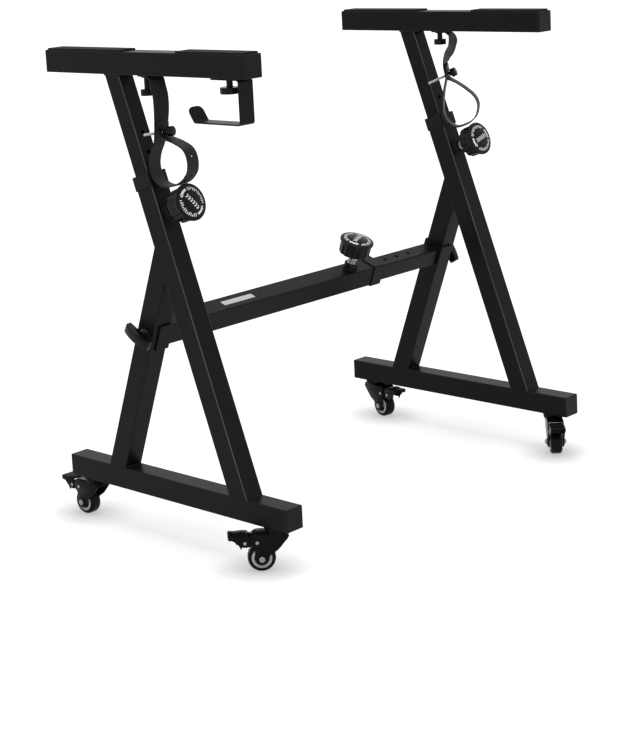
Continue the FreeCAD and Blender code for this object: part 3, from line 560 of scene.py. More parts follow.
def knob_marks():
    """White direction marks on the dome: two arrows round it, ticks between them, chevrons across."""
    marks = []

    def ring_patch(corners):
        marks.append(dome_patch([(r * math.cos(a), r * math.sin(a)) for r, a in corners]))

    low, high = ARROW_BAND
    inner, middle, outer = ARROW_HEAD
    for turn in (0, math.pi):
        for k in range(8):
            one = turn + ARROW_START + ARROW_STEP * k
            other = one + ARROW_STEP
            ring_patch([(high, one), (high, other), (low, other), (low, one)])
        tip = turn + HEAD_START
        ring_patch([(outer, tip), (middle, tip + HEAD_LENGTH), (inner, tip)])
        for k in range(12):
            one = turn + TICK_START + TICK_STEP * k
            foot = TICK_FOOT if k % 3 else SHORT_TICK_FOOT
            ring_patch([(foot, one - 0.042), (TICK_TOP, one - 0.033), (TICK_TOP, one + 0.033),
                        (foot, one + 0.042)])
    for k in range(6):
        x = (k - 2.5) * CHEVRON_PITCH
        for hand in (1, -1):
            y = CHEVRON_HALF * hand
            corners = [(x - 1.9, y), (x + 0.5, y), (x + 2.6, 0), (x + 0.2, 0)]
            marks.append(dome_patch(corners[::hand]))
    return together(*marks)


def front_pin(side):
    """Frame of a height pin: Z out of the long leg's front face."""
    return leg_place(side, "long") @ shifted(0, 0, PIN_HEIGHT) @ rotated("X", 90)


PINS = {
    "height_{}_left": (front_pin("left"), "left_frame", -55),
    "height_{}_right": (front_pin("right"), "right_frame", 15),
    "width_{}": (bar_place @ shifted(PIN_BAR_X, 0, 0), "left_frame", 21),
}
for pattern, (place, tube_body, spin) in PINS.items():
    sleeve_name = pattern.format("sleeve")
    knob_name = pattern.format("knob")
    ring = [place @ point for point in circle(BOSS, LEG / 2 + BOSS_BEAD_LIFT, 24)]
    weld = bead(ring, closed=True, radius=BOSS_BEAD)
    piece(f"{pattern.format('boss')}_weld", weld, coat, tube_body, 80)
    collar = softened([(6.6, SLEEVE_PLAIN - 1.4), (SLEEVE_NECK, SLEEVE_PLAIN - 1),
                       (SLEEVE_NECK, SLEEVE_PLAIN), (SLEEVE, SLEEVE_PLAIN), (SLEEVE, SLEEVE_END),
                       (4.6, SLEEVE_END)], 0.5, 2)
    plain = turned(collar + [(SLEEVE_BORE, SLEEVE_END), (SLEEVE_BORE, SLEEVE_END - 3)], 48)
    screw = thread(SLEEVE, SLEEVE_NOSE, SLEEVE_PLAIN - 1, SLEEVE_PITCH, 0.75, 48)
    tube = placed(together(plain, screw), place)
    sleeve = piece(f"{sleeve_name}_thread", tube, zinc, sleeve_name, 50)
    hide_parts(sleeve_name)
    star = placed(star_knob(), place, rotated("Z", spin))
    knob = piece(f"{knob_name}_star", star, gloss, knob_name, 50)
    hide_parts(knob_name)
    marks = placed(knob_marks(), place, rotated("Z", spin))
    piece(f"{knob_name}_marks", marks, print_white, knob_name, 60)


# T-handle bolts: a bowed bar of glossy black plastic moulded on an M8 zinc-plated bolt, which pulls
# the rear leg into the crossbar's saddle.
def inset(outline, amount):
    """Closed 2D outline moved inward by an amount."""
    area = sum(a[0] * b[1] - b[0] * a[1] for a, b in zip(outline, outline[1:] + outline[:1]))
    hand = math.copysign(1, area)
    result = []
    for i, here in enumerate(outline):
        back = (Vector(here) - Vector(outline[i - 1])).normalized()
        on = (Vector(outline[(i + 1) % len(outline)]) - Vector(here)).normalized()
        way = (Vector((-back.y, back.x)) + Vector((-on.y, on.x))).normalized() * hand
        result.append(tuple(Vector(here) + way * amount))
    return result


def plate(outline, low, high, edge=0.5):
    """Plate with a closed XZ outline, from low to high along Y, its edges rounded."""
    rings = []
    for y, cut in ((low, edge), (low + edge * 0.3, edge * 0.3), (low + edge, 0), (high - edge, 0),
                   (high - edge * 0.3, edge * 0.3), (high, edge)):
        rings.append([Vector((x, y, z)) for x, z in (inset(outline, cut) if cut else outline)])
    return swept(rings)


T_LENGTH = 60.0
T_WIDTH = 17.6
T_THICKNESS = 16.5
T_BOW = 5.5
T_START = 10.3
T_NECK = 7.3
T_NECK_START = 1.8
T_TURN = {"left": 82.0, "right": -52.0}
for side in SIDES:
    zinc.wear(f"t_bolt_{side}")
    shares = [1 - k / 8 for k in range(17)]
    bow = [(T_LENGTH / 2 * share, T_START + T_THICKNESS - T_BOW * share ** 2) for share in shares]
    profile = softened([(-T_LENGTH / 2, T_START), (T_LENGTH / 2, T_START)] + bow, 2.0, 3, closed=True)
    bar = plate(profile, -T_WIDTH / 2, T_WIDTH / 2, 1.4)
    neck = turned(softened([(0, T_NECK_START), (T_NECK, T_NECK_START), (T_NECK, T_START), (8.6, T_START + 1),
                            (0, T_START + 1)], 0.8, 3), 48)
    place = (leg_place(side, "rear") @ shifted(OUTWARD[side] * LEG / 2, 0, BAR_HEIGHT) @
             rotated("Y", OUTWARD[side] * 90) @ rotated("Z", T_TURN[side]))
    handle = placed(together(bar, neck), place)
    grip = piece(f"t_handle_{side}_grip", handle, gloss, f"t_bolt_{side}", 40)
    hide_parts(f"t_handle_{side}")


# Straps: black rubber strip, punched with a row of holes, hung from a thumb screw under each top beam.
# Each hangs forward of its post, loops and returns to itself, where a second thumb screw with a long
# zinc-plated thread goes through both layers. Shares of the drop give the line: right, forward and up.
STRAP_DROP = 197.0
STRAP_WIDTH = 28.0
STRAP_THICKNESS = 2.4
STRAP_CORNER = 6.0
STRAP_EDGE = 0.5
STRAP_HOLE_PITCH = 35.0
FIRST_HOLE = 8.5
STRAP_HOLE = 2.0
SCREW_HOLE = 3.2
CLAMP_HOLE = 3.6
HOLE_CELL = 4.4
STRAP_SHARES = {
    "left": [
        (0.024, -0.067, 0.0), (0.0, 0.0, 0.0), (-0.019, 0.052, 0.0), (-0.025, 0.14, -0.013),
        (-0.03, 0.17, -0.091), (-0.024, 0.183, -0.163), (-0.022, 0.185, -0.25),
        (-0.027, 0.183, -0.345), (-0.03, 0.173, -0.432), (-0.026, 0.157, -0.494),
        (-0.027, 0.135, -0.585), (-0.029, 0.087, -0.675), (-0.03, 0.065, -0.765),
        (-0.03, 0.081, -0.856), (-0.026, 0.143, -0.928), (-0.02, 0.261, -0.953),
        (-0.012, 0.412, -0.906), (-0.008, 0.497, -0.828), (-0.007, 0.518, -0.762),
        (-0.007, 0.51, -0.683), (-0.009, 0.466, -0.613), (-0.015, 0.368, -0.566),
        (-0.019, 0.279, -0.542), (-0.019, 0.203, -0.519), (-0.02, 0.182, -0.477),
        (-0.023, 0.187, -0.43), (-0.023, 0.195, -0.384),
    ],
    "right": [
        (-0.012, -0.07, 0.0), (0.0, 0.0, 0.0), (0.01, 0.055, -0.001), (0.021, 0.098, -0.012),
        (0.027, 0.138, -0.052), (-0.006, 0.165, -0.102), (-0.053, 0.178, -0.17), (-0.131, 0.185, -0.234),
        (-0.165, 0.185, -0.31), (-0.121, 0.161, -0.432), (-0.118, 0.151, -0.494),
        (-0.128, 0.137, -0.571), (-0.136, 0.127, -0.657), (-0.139, 0.122, -0.745),
        (-0.136, 0.127, -0.819), (-0.116, 0.154, -0.899), (-0.064, 0.226, -0.96),
        (-0.004, 0.308, -0.938), (0.03, 0.355, -0.903), (0.057, 0.392, -0.847), (0.069, 0.408, -0.759),
        (0.063, 0.4, -0.701), (0.042, 0.371, -0.641), (0.003, 0.318, -0.58), (-0.046, 0.25, -0.518),
        (-0.116, 0.184, -0.453), (-0.15, 0.198, -0.381), (-0.171, 0.207, -0.318),
    ],
}
STRAP_TURNS = {
    "left": [
        -20, -20, -20, -24, -28, -28, -26, -18, -8, -2, 3, 3, 3, 3, 3, 3, 3, 3, 3, 3, 3, 3, 3, 3,
        0, 0, 0,
    ],
    "right": [
        10, 10, 10, 12, 10, 9, 10, 14, 22, 31, 30, 30, 30, 30, 30, 30, 30, 30, 30, 30, 30, 30, 30, 30, 30,
        28, 28, 28,
    ],
}
CLAMP_SHARES = {"left": (-0.0259, 0.1518, -0.4916), "right": (-0.1152, 0.1548, -0.4358)}
CLAMP_TURN = {"left": 12.0, "right": 22.0}
CLAMP_TILT = {"left": 8.0, "right": 23.0}
CLAMP_FRONT = {"left": 14.0, "right": 7.3}
CLAMP_SHAFT = 52.0
CLAMP_THREAD = 2.5
CLAMP_PITCH = 0.8
CLAMP_NECK = 4.5
CLAMP_HEAD = 8.7
CLAMP_HEAD_HEIGHT = 10
NECK_START = {"left": 8.5, "right": 7.0}
STRAP_TOP = {side: Vector((FRAME_X[side], 19.5, 829.85)) for side in SIDES}
CURVE_STEPS = 10


def strap_line(side):
    """Points and width directions along a strap, from smooth curves through its shares, with distances."""
    rows = [(right * STRAP_DROP, -forward * STRAP_DROP, up * STRAP_DROP, math.radians(turn)) for
            (right, forward, up), turn in zip(STRAP_SHARES[side], STRAP_TURNS[side])]
    fine = []
    for i in range(len(rows) - 1):
        before = rows[max(i - 1, 0)]
        after = rows[min(i + 2, len(rows) - 1)]
        for step in range(CURVE_STEPS):
            t = step / CURVE_STEPS
            fine.append([b + t * (c - a + t * (2 * a - 5 * b + 4 * c - d + t * (3 * (b - c) + d - a))) / 2
                         for a, b, c, d in zip(before, rows[i], rows[i + 1], after)])
    fine.append(rows[-1])
    points = [STRAP_TOP[side] + Vector(row[:3]) for row in fine]
    wides = [Vector((math.cos(row[3]), math.sin(row[3]), 0)) for row in fine]
    reached = [0.0]
    for one, other in zip(points, points[1:]):
        reached.append(reached[-1] + (other - one).length)
    return points, wides, reached


def on_strap(line, along, across, out):
    """Point of a strap, by its distance along it, across its width and out of its face."""
    points, wides, reached = line
    along = min(max(along, 0.0), reached[-1])
    i = min(max(bisect.bisect_right(reached, along) - 1, 0), len(points) - 2)
    t = (along - reached[i]) / (reached[i + 1] - reached[i])
    last = len(points) - 1
    tangent = (points[min(i + 2, last)] - points[max(i - 1, 0)]).normalized()
    ahead = (points[min(i + 3, last)] - points[i]).normalized()
    tangent = tangent.lerp(ahead, t).normalized()
    wide = wides[i].lerp(wides[i + 1], t)
    wide = (wide - tangent * tangent.dot(wide)).normalized()
    face = tangent.cross(wide)
    return points[i].lerp(points[i + 1], t) + wide * across + face * out


def half_strap(along, length):
    """Half of the width at a distance along the strap, less at its rounded ends."""
    near = min(along, length - along)
    half = STRAP_WIDTH / 2
    if near >= STRAP_CORNER:
        return half
    return half - STRAP_CORNER + math.sqrt(max(0.0, STRAP_CORNER ** 2 - (STRAP_CORNER - near) ** 2))


def strap_mesh(line, holes):
    """Flat strip with rounded edges and round holes, laid along its line."""
    length = line[2][-1]
    half = STRAP_WIDTH / 2
    corner_rows = [STRAP_CORNER * (1 - math.cos(math.pi / 2 * k / 6)) for k in range(7)]
    stations = set(corner_rows) | {length - row for row in corner_rows}
    for hole in holes:
        stations |= {hole + HOLE_CELL * k / 2 for k in (-2, -1, 0, 1, 2)}
    fixed = sorted(stations)
    for one, other in zip(fixed, fixed[1:]):
        steps = math.ceil((other - one) / 2.5)
        stations |= {one + (other - one) * k / steps for k in range(1, steps)}
    stations = sorted(stations)
    acrosses = [STRAP_EDGE - half, -9.0, -HOLE_CELL, -HOLE_CELL / 2, 0.0, HOLE_CELL / 2, HOLE_CELL, 9.0,
                half - STRAP_EDGE]
    shape = bmesh.new()
    thick = STRAP_THICKNESS / 2
    grids = {}
    for face in (1, -1):
        grids[face] = [[shape.verts.new(on_strap(line, u, v * half_strap(u, length) / half, face * thick))
                        for v in acrosses] for u in stations]
    hole_starts = {min(range(len(stations)), key=lambda i: abs(stations[i] - (hole - HOLE_CELL))): hole
                   for hole in holes}
    skipped = {(start + i, 2 + j) for start in hole_starts for i in range(4) for j in range(4)}
    for grid in grids.values():
        for i in range(len(stations) - 1):
            for j in range(len(acrosses) - 1):
                if (i, j) not in skipped:
                    shape.faces.new((grid[i][j], grid[i + 1][j], grid[i + 1][j + 1], grid[i][j + 1]))
    rim_path = ([(k, 0) for k in range(4)] + [(4, k) for k in range(4)] +
                [(4 - k, 4) for k in range(4)] + [(0, 4 - k) for k in range(4)])
    for start, hole in hole_starts.items():
        rings = {}
        for face, grid in grids.items():
            square = [grid[start + i][2 + j] for i, j in rim_path]
            ring = []
            for i, j in rim_path:
                way = Vector((stations[start + i] - hole, acrosses[2 + j])).normalized() * holes[hole]
                ring.append(shape.verts.new(on_strap(line, hole + way.x, way.y, face * thick)))
            rings[face] = ring
            for k in range(16):
                m = (k + 1) % 16
                shape.faces.new((square[k], square[m], ring[m], ring[k]))
        for k in range(16):
            m = (k + 1) % 16
            shape.faces.new((rings[1][k], rings[1][m], rings[-1][m], rings[-1][k]))
    # The rounded edge all the way round, between the two faces
    last_u = len(stations) - 1
    last_v = len(acrosses) - 1
    edge_path = ([(i, 0) for i in range(last_u)] + [(last_u, j) for j in range(last_v)] +
                 [(last_u - i, last_v) for i in range(last_u)] + [(0, last_v - j) for j in range(last_v)])
    middles = []
    for i, j in edge_path:
        u = stations[i]
        v = acrosses[j] * half_strap(u, length) / half
        push_u = STRAP_EDGE * ((i == last_u) - (i == 0))
        push_v = STRAP_EDGE * ((j == last_v) - (j == 0))
        middle = on_strap(line, u, v + push_v, 0)
        along_way = on_strap(line, min(u + 1, length), v, 0) - on_strap(line, max(u - 1, 0), v, 0)
        middles.append(shape.verts.new(middle + along_way.normalized() * push_u))
    for k in range(len(edge_path)):
        m = (k + 1) % len(edge_path)
        for face, grid in grids.items():
            one = grid[edge_path[k][0]][edge_path[k][1]]
            other = grid[edge_path[m][0]][edge_path[m][1]]
            shape.faces.new((one, other, middles[m], middles[k]))
    return shape


strap_rubber = Finish("strap_rubber", (0.006, 0.006, 0.006), 0.5, specular=0.16)
strap_patches = strap_rubber.noise(0.02, 3)
strap_rubber.feed(Roughness=0.42 + 0.18 * strap_rubber.noise(0.012, 3),
                  Base_Color=strap_rubber.shade(strap_patches, (0.006, 0.006, 0.006), (0.013, 0.013, 0.013)),
                  Normal=strap_rubber.bump(strap_rubber.noise(0.0008, 2), 0.00006))


def knurled(count, depth, low, high):
    """Reach of a grip that is grooved between two heights."""
    def reach(angle, height):
        if not low < height < high:
            return 1
        return 1 - depth * max(0.0, math.cos(angle * count)) ** 2
    return reach


# Each strap is drawn hanging in its loop, holed for the top screw, twice for the clamp screw and three times
# more along it;
# the strap and the clamp screw's shaft and head each get a mesh of their own
for side in SIDES:
    gloss.wear(f"strap_screw_{side}")
    line = strap_line(side)
    length = line[2][-1]
    right, forward, up = [share * STRAP_DROP for share in CLAMP_SHARES[side]]
    clamp_place = (shifted(*STRAP_TOP[side]) @ shifted(right, -forward, up) @ rotated("Z", CLAMP_TURN[side]) @
                   rotated("X", 90 - CLAMP_TILT[side]))
    # The clamp screw's axis, and where the strap's two layers come nearest to it
    start = clamp_place.translation
    way = clamp_place.to_3x3() @ Vector((0, 0, 1))
    crossings = []
    for near, far in ((60, length / 2), (length / 2, length)):
        spots = [near + (far - near) * k / 800 for k in range(801)]
        misses = [(on_strap(line, spot, 0, 0) - start).cross(way).length for spot in spots]
        crossings.append(spots[misses.index(min(misses))])
    holes = {crossing: CLAMP_HOLE for crossing in crossings}
    holes[line[2][CURVE_STEPS]] = SCREW_HOLE
    for k in range(1, 4):
        holes[crossings[1] - FIRST_HOLE - STRAP_HOLE_PITCH * k] = STRAP_HOLE
    loop = strap_mesh(line, holes)
    strap = piece(f"strap_{side}_loop", loop, strap_rubber, f"top_{side}", 60)
    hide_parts(f"strap_{side}")
    body = f"clamp_screw_{side}"
    neck = NECK_START[side]
    low = CLAMP_FRONT[side] + 4.0
    high = low + CLAMP_HEAD_HEIGHT
    outline = softened([(0, neck), (CLAMP_NECK, neck), (CLAMP_NECK, low), (CLAMP_HEAD, low),
                        (CLAMP_HEAD, high), (0, high + 0.6)], 1.0, 3)
    head = turned(divided(outline, 3, 4), 90, knurled(18, 0.05, low + 0.8, high - 0.8))
    shaft = thread(CLAMP_THREAD, low - CLAMP_SHAFT, neck + 1, CLAMP_PITCH, 0.35, 24)
    bright = piece(f"clamp_shaft_{side}", placed(shaft, clamp_place), zinc, body, 60)
    black = piece(f"clamp_head_{side}", placed(head, clamp_place), gloss, body, 40)
    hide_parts(f"clamp_screw_{side}")
    for soft in (strap, bright, black):
        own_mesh(soft)


# Headphone hook: steel strip bent to a shelf with a rounded tip, powder-coated, held under the
# front of the left top beam by a thumb screw.
coat.wear("headphone_hook")
gloss.wear("hook_screw")


# Casters: pressed forks in glossy black on a ring of balls, with black treads on wheel centres that
# show a light grey ring, and zinc-plated axle bolts and rivets. A toothed brake pedal is riveted in
# each fork, and each stem screws into a nut in the base beam.
STEM_Y = {"front": -229.3, "rear": 229.3}
TRAIL_ANGLE = {"left_front": 136.2, "left_rear": 90.0, "right_front": -139.0, "right_rear": -101.5}
TRAIL = 27.0
WHEEL = 24.0
FORK_TOP = 68.0
FORK_HALF = 16.0
FORK_SHEET = 2.75
CUP_RISE = 5.5
BALL = 1.0
BALL_CIRCLE = 18.8
SHANK_HALF = FORK_HALF + 5.2
PEDAL_HALF = 14.5
SHOE_HALF = 12.3
TREAD_HALF = 11.3
RING_HALF = 10.9
HUB_HALF = 12.6
PIVOT = (33.7, 52.8)
SECOND_RIVET = (54.3, 52.6)


def mirrored(make, low, high):
    """The same plate on both sides of the middle."""
    return together(make(low, high), make(-high, -low))


def ball(centre, segments=12, rows=8):
    angles = [math.pi * k / rows for k in range(1, rows)]
    middle = [(BALL * math.sin(a), -BALL * math.cos(a)) for a in angles]
    return placed(turned([(0, -BALL)] + middle + [(0, BALL)], segments), shifted(*centre))


def fork_mesh():
    """Two cheeks that reach down round the axle, joined by the crown and its bearing cup."""
    turns = [math.radians(a) for a in range(15, -176, -19)]
    lobe = [(TRAIL + 11.2 * math.cos(a), WHEEL + 11.2 * math.sin(a)) for a in turns]
    cheek = softened([(-20.0, 62.0), (-16.5, FORK_TOP), (34.0, FORK_TOP), (42.0, 64.5), (44.6, 57.0),
                      (44.0, 47.0), (39.0, 42.0)] + lobe + [(12.5, 30.0), (-1.5, 39.0), (-19.0, 59.0)],
                     3.0, 3, closed=True)
    cheeks = mirrored(lambda low, high: plate(cheek, low, high, 0.7), FORK_HALF - FORK_SHEET, FORK_HALF)
    roof = softened([(-20.0, -FORK_HALF), (37.0, -FORK_HALF), (37.0, FORK_HALF), (-20.0, FORK_HALF)], 4.0, 4,
                    closed=True)
    top = placed(plate(roof, -FORK_TOP, -FORK_TOP + FORK_SHEET, 0.7), rotated("X", -90))
    nose = softened([(-21.0, 61.5), (-16.0, FORK_TOP), (-13.0, FORK_TOP), (-18.0, 60.0)], 1.0, 2, closed=True)
    front = plate(nose, -FORK_HALF + 1, FORK_HALF - 1, 0.3)
    cup_top = FORK_TOP + CUP_RISE
    cup = turned(softened([(0, FORK_TOP - 1), (19.5, FORK_TOP - 1), (20.0, FORK_TOP + 4.6),
                           (18.2, FORK_TOP + 5.2), (15.5, cup_top), (0, cup_top)], 0.8, 3), 64)
    for hand in (1, -1):
        low = (FORK_HALF - 0.5) * hand
        high = (FORK_HALF + 0.9) * hand
        washer = turned(softened([(0, low), (8.0, low), (8.0, high), (0, high)], 0.4), 40)
        cup = together(cup, placed(washer, shifted(TRAIL, 0, WHEEL), rotated("X", 90)))
    return together(cheeks, top, front, cup)


def rivet(centre, low, radius=3.0, rise=1.5):
    """Domed rivet head standing out along Y from both cheeks."""
    profile = [(0, 0), (radius, 0), (radius, rise * 0.35), (radius * 0.8, rise * 0.8), (radius * 0.45, rise),
               (0, rise * 0.8)]
    middle = shifted(centre[0], 0, centre[1])
    return together(*[placed(turned(profile, 24), middle, rotated("X", turn), shifted(0, 0, low))
                      for turn in (90, -90)])


def hexed(angle, height):
    """Reach of a hexagon, as a share of its corners' radius."""
    step = math.pi / 3
    return math.cos(step / 2) / math.cos((angle + step / 2) % step - step / 2)


def axle_bolt():
    """Hexagon head and nut at the two ends of a shank."""
    shank = softened([(0, -SHANK_HALF), (2.2, -SHANK_HALF), (2.2, SHANK_HALF), (0, SHANK_HALF)], 0.5)
    parts = [turned(shank, 24)]
    for hand in (1, -1):
        low = FORK_HALF * hand
        nut = softened([(0, low + 0.3 * hand), (5.6, low + 0.3 * hand), (5.6, low + 3.3 * hand),
                        (4.6, low + 4.0 * hand), (0, low + 4.0 * hand)], 0.3, 2)
        parts.append(turned(nut, 48, hexed))
    return together(*parts)


def tyre_mesh():
    """Tread with rounded shoulders and a shallow bead where it meets the wheel centre."""
    half = TREAD_HALF
    outline = softened([(17.4, -half + 1.5), (18.2, -half), (21.0, -half), (WHEEL, -half + 3.6),
                        (WHEEL, half - 3.6), (21.0, half), (18.2, half), (17.4, half - 1.5)],
                       2.4, 4, closed=True)
    return turned(outline, 96, loop=True)


def wheel_ring():
    """Wheel centre: a rounded grey ring standing out on each side of a thinner disc."""
    ring, hub = RING_HALF, HUB_HALF
    outline = softened([(12.6, -ring), (17.5, -ring), (17.5, ring), (12.6, ring), (12.6, 7.0), (7.0, 6.0),
                        (7.0, hub), (4.2, hub), (4.2, -hub), (7.0, -hub), (7.0, -6.0), (12.6, -7.0)],
                       0.9, 3, closed=True)
    return turned(outline, 96, loop=True)


def wheel_web():
    """Dark covers in the wheel's sunk sides, with six small ribs on each."""
    parts = []
    for hand in (1, -1):
        low, high = sorted((7.6 * hand, 5.0 * hand))
        parts.append(turned([(7.1, low), (12.5, low), (12.5, high), (7.1, high)], 64, loop=True))
        for k in range(6):
            near, far = sorted((7.4 * hand, 8.8 * hand))
            rib = plate([(7.2, -0.8), (12.4, -0.8), (12.4, 0.8), (7.2, 0.8)], near, far, 0.2)
            parts.append(placed(rib, rotated("Z", 60 * k + 15), rotated("X", -90)))
    return together(*parts)


def pedal_mesh():
    """Toothed cheeks under a ribbed foot plate, with the brake shoe between the fork's sides."""
    half = PEDAL_HALF
    cheek = softened([(45.6, 46.0), (46.2, 60.5), (49.5, 66.0), (58.0, 66.5), (70.0, 65.5), (80.0, 64.5),
                      (82.6, 62.0), (82.4, 58.6), (76.0, 58.0), (72.0, 56.0), (68.5, 51.0), (66.0, 50.5),
                      (63.4, 46.0), (61.2, 41.2), (59.4, 46.0), (56.0, 45.2), (52.0, 44.8)],
                     1.1, 2, closed=True)
    sides = mirrored(lambda low, high: plate(cheek, low, high, 0.5), half - 2.2, half)
    foot = softened([(49.0, 63.6), (51.0, 67.0), (60.0, 67.4), (72.0, 66.4), (80.5, 67.2), (83.1, 66.0),
                     (83.1, 62.6), (80.0, 63.4), (72.0, 63.2), (60.0, 64.2)], 0.9, 2, closed=True)
    parts = [sides, plate(foot, -half, half, 0.8)]
    for k in range(5):
        x = 56.5 + 4.8 * k
        z = 67.3 - 0.07 * (x - 58.0)
        rib = softened([(x, z - 1), (x + 0.5, z + 0.6), (x + 1.7, z + 0.6), (x + 2.2, z - 1.1)], 0.3, 1,
                       closed=True)
        parts.append(plate(rib, -half + 2.5, half - 2.5, 0.4))
    shoe = softened([(29.5, 50.2), (30.0, 61.0), (32.5, 64.2), (47.0, 64.2), (49.5, 60.0), (49.0, 46.5),
                     (45.0, 44.2), (41.0, 47.5), (36.5, 48.7)], 1.4, 3, closed=True)
    parts.append(plate(shoe, -SHOE_HALF, SHOE_HALF, 0.8))
    return together(*parts)


pressed = Finish("glossy_black_pressing", (0.003, 0.003, 0.003), 0.2, specular=0.07)
pressed.feed(Roughness=0.14 + 0.16 * pressed.noise(0.01, 3),
             Normal=pressed.bump(pressed.noise(0.004, 2), 0.00012))
tread = Finish("tread_rubber", (0.004, 0.004, 0.004), 0.3, specular=0.09)
tread.feed(Roughness=0.22 + 0.2 * tread.noise(0.008, 3))
dull_zinc = Finish("dull_zinc_plate", (0.3, 0.3, 0.3), 0.4, metallic=1.0)
dull_zinc.feed(Roughness=0.34 + 0.16 * dull_zinc.noise(0.004, 3),
               Base_Color=dull_zinc.shade(dull_zinc.noise(0.003, 2), (0.2, 0.2, 0.2), (0.36, 0.36, 0.35)))
wheel_grey = Finish("grey_wheel_plastic", (0.5, 0.5, 0.47), 0.42)
wheel_patches = wheel_grey.noise(0.01, 3)
wheel_grey.feed(Roughness=0.36 + 0.15 * wheel_grey.noise(0.006, 3),
                Base_Color=wheel_grey.shade(wheel_patches, (0.45, 0.45, 0.42), (0.55, 0.55, 0.52)))
for side in SIDES:
    pressed.wear(f"caster_stems_{side}")
    for end in ENDS:
        key = f"{side}_{end}"
        stand = shifted(FRAME_X[side], STEM_Y[end], 0) @ rotated("Z", TRAIL_ANGLE[key])
        axle = stand @ shifted(TRAIL, 0, WHEEL) @ rotated("X", 90)
        pressing = placed(fork_mesh(), stand)
        fork = piece(f"fork_{key}_pressing", pressing, pressed, f"fork_{key}", 40)
        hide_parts(f"fork_{key}")
        balls = together(*[ball(spot) for spot in circle(BALL_CIRCLE, FORK_TOP + CUP_RISE, 18)])
        piece(f"bearing_{key}_balls", placed(balls, stand), dull_zinc, f"fork_{key}", 60)
        bright = together(placed(axle_bolt(), axle), placed(rivet(PIVOT, FORK_HALF), stand))
        piece(f"axle_{key}_bolt", bright, dull_zinc, f"fork_{key}", 40)
        tyre = piece(f"tyre_{key}_tread", placed(tyre_mesh(), axle), tread, f"wheel_{key}", 40)
        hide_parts(f"tyre_{key}")
        ring = placed(wheel_ring(), axle)
        centre = piece(f"hub_{key}_ring", ring, wheel_grey, f"wheel_{key}", 40)
        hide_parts(f"hub_{key}")
        piece(f"hub_{key}_web", placed(wheel_web(), axle), moulded, f"wheel_{key}", 40)
        foot = placed(pedal_mesh(), stand)
        pedal = piece(f"pedal_{key}_foot", foot, pressed, f"pedal_{key}", 40)
        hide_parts(f"pedal_{key}")
        rivets = placed(rivet(SECOND_RIVET, PEDAL_HALF), stand)
        piece(f"pedal_{key}_rivet", rivets, dull_zinc, f"pedal_{key}", 40)


# Studio: a pale floor, one very broad soft light overhead and a plain bright room. For the camera the floor
# fades into the white background and keeps only the soft shadow, partly cast by the lamp and the room and
# partly painted darker into the floor's colour close under the stand.
FLOOR_REACH = 30.0
floor_mesh = bpy.data.meshes.new("floor")
floor_corners = [(x * FLOOR_REACH, y * FLOOR_REACH, 0) for x, y in ((-1, -1), (1, -1), (1, 1), (-1, 1))]
floor_mesh.from_pydata(floor_corners, [], [(0, 1, 2, 3)])
floor = bpy.data.objects.new("floor", floor_mesh)
bpy.context.scene.collection.objects.link(floor)
pale = Finish("pale_floor", (0.86, 0.86, 0.86), 0.9, specular=0.0)
# Painted shadow: the floor's colour goes darker where ambient occlusion finds the stand within 8 cm, mostly
# under the casters
openness = pale.node("ShaderNodeAmbientOcclusion", {"samples": 8}, {"Distance": 0.08})["AO"]
pale.feed(Base_Color=pale.shade(openness ** 2.6, (0.05, 0.05, 0.05), (0.86, 0.86, 0.86)))
seen = pale.node("ShaderNodeLightPath", {}, {})
glow = pale.node("ShaderNodeEmission", {}, {"Color": (1, 1, 1, 1), "Strength": 2.08})["Emission"]
lit = Sock(pale, pale.surface.outputs["BSDF"])
clean = (seen["Is Camera Ray"] + seen["Is Glossy Ray"] + seen["Is Transmission Ray"]) * 0.25
mixed = pale.node("ShaderNodeMixShader", {}, {0: clean, 1: lit, 2: glow})
pale.set(pale.tree.nodes["Material Output"].inputs["Surface"], mixed["Shader"])
floor_mesh.materials.append(pale.material)

world = bpy.data.worlds.new("room")
bpy.context.scene.world = world
room = Graph(world)
ray = room.node("ShaderNodeLightPath", {}, {})
unlit = ray["Is Camera Ray"].larger(ray["Is Transmission Ray"]).larger(ray["Is Glossy Ray"])
white = room.node("ShaderNodeBackground", {}, {"Color": (1, 1, 1, 1), "Strength": 1.0})["Background"]
plain_room = room.tree.nodes["Background"]
room.set(plain_room.inputs["Color"], (1, 1, 1, 1))
room.set(plain_room.inputs["Strength"], 0.6)
ambient = Sock(room, plain_room.outputs["Background"])
choice = room.node("ShaderNodeMixShader", {}, {0: unlit, 1: ambient, 2: white})["Shader"]
room.set(room.tree.nodes["World Output"].inputs["Surface"], choice)

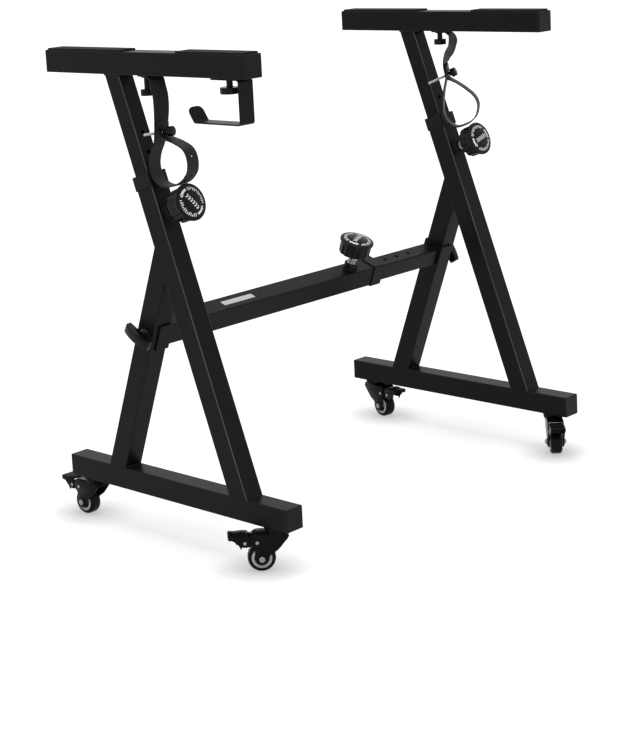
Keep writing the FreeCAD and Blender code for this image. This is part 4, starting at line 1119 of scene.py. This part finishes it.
lamp_data = bpy.data.lights.new("overhead_softbox", "SUN")
lamp_data.angle = math.radians(75)
lamp_data.energy = 1.45
lamp = bpy.data.objects.new("overhead_softbox", lamp_data)
lamp.location = (-0.3, -0.4, 2.8)
lamp.rotation_euler = (Vector((0, 0, 0)) - lamp.location).to_track_quat("-Z", "Y").to_euler()
bpy.context.scene.collection.objects.link(lamp)


# Camera: the photograph's own viewpoint, at standing height, in front of the stand and to its left.
# The optical axis passes left of and above the middle of the frame, which is 640 by 739 pixels.
FRAME_WIDTH = 640
FRAME_HEIGHT = 739
OPTICAL_AXIS = (200.0, 210.4)
FOCAL_PIXELS = 1820.99
SENSOR = 36.0
VIEW_AZIMUTH, VIEW_ELEVATION, VIEW_ROLL = (math.radians(angle) for angle in (-44.01, 9.74, -3.47))
EYE = Vector((-2508.05, -2269.86, 1123.89))
lens_data = bpy.data.cameras.new("photo_camera")
lens_data.sensor_fit = "VERTICAL"
lens_data.sensor_height = SENSOR
lens_data.lens = FOCAL_PIXELS / FRAME_HEIGHT * SENSOR
lens_data.shift_x = (FRAME_WIDTH / 2 - OPTICAL_AXIS[0]) / FRAME_HEIGHT
lens_data.shift_y = (OPTICAL_AXIS[1] - FRAME_HEIGHT / 2) / FRAME_HEIGHT
camera = bpy.data.objects.new("photo_camera", lens_data)
bpy.context.scene.collection.objects.link(camera)
backward = Vector((math.sin(VIEW_AZIMUTH) * math.cos(VIEW_ELEVATION),
                   -math.cos(VIEW_AZIMUTH) * math.cos(VIEW_ELEVATION), math.sin(VIEW_ELEVATION)))
level_right = Vector((math.cos(VIEW_AZIMUTH), math.sin(VIEW_AZIMUTH), 0))
level_up = backward.cross(level_right)
right_way = level_right * math.cos(VIEW_ROLL) + level_up * math.sin(VIEW_ROLL)
up_way = level_up * math.cos(VIEW_ROLL) - level_right * math.sin(VIEW_ROLL)
attitude = Matrix((right_way, up_way, backward)).transposed().to_4x4()
camera.matrix_world = Matrix.Translation(TO_FRAME @ EYE) @ attitude
bpy.context.scene.camera = camera

bpy.context.scene.view_settings.view_transform = "Standard"
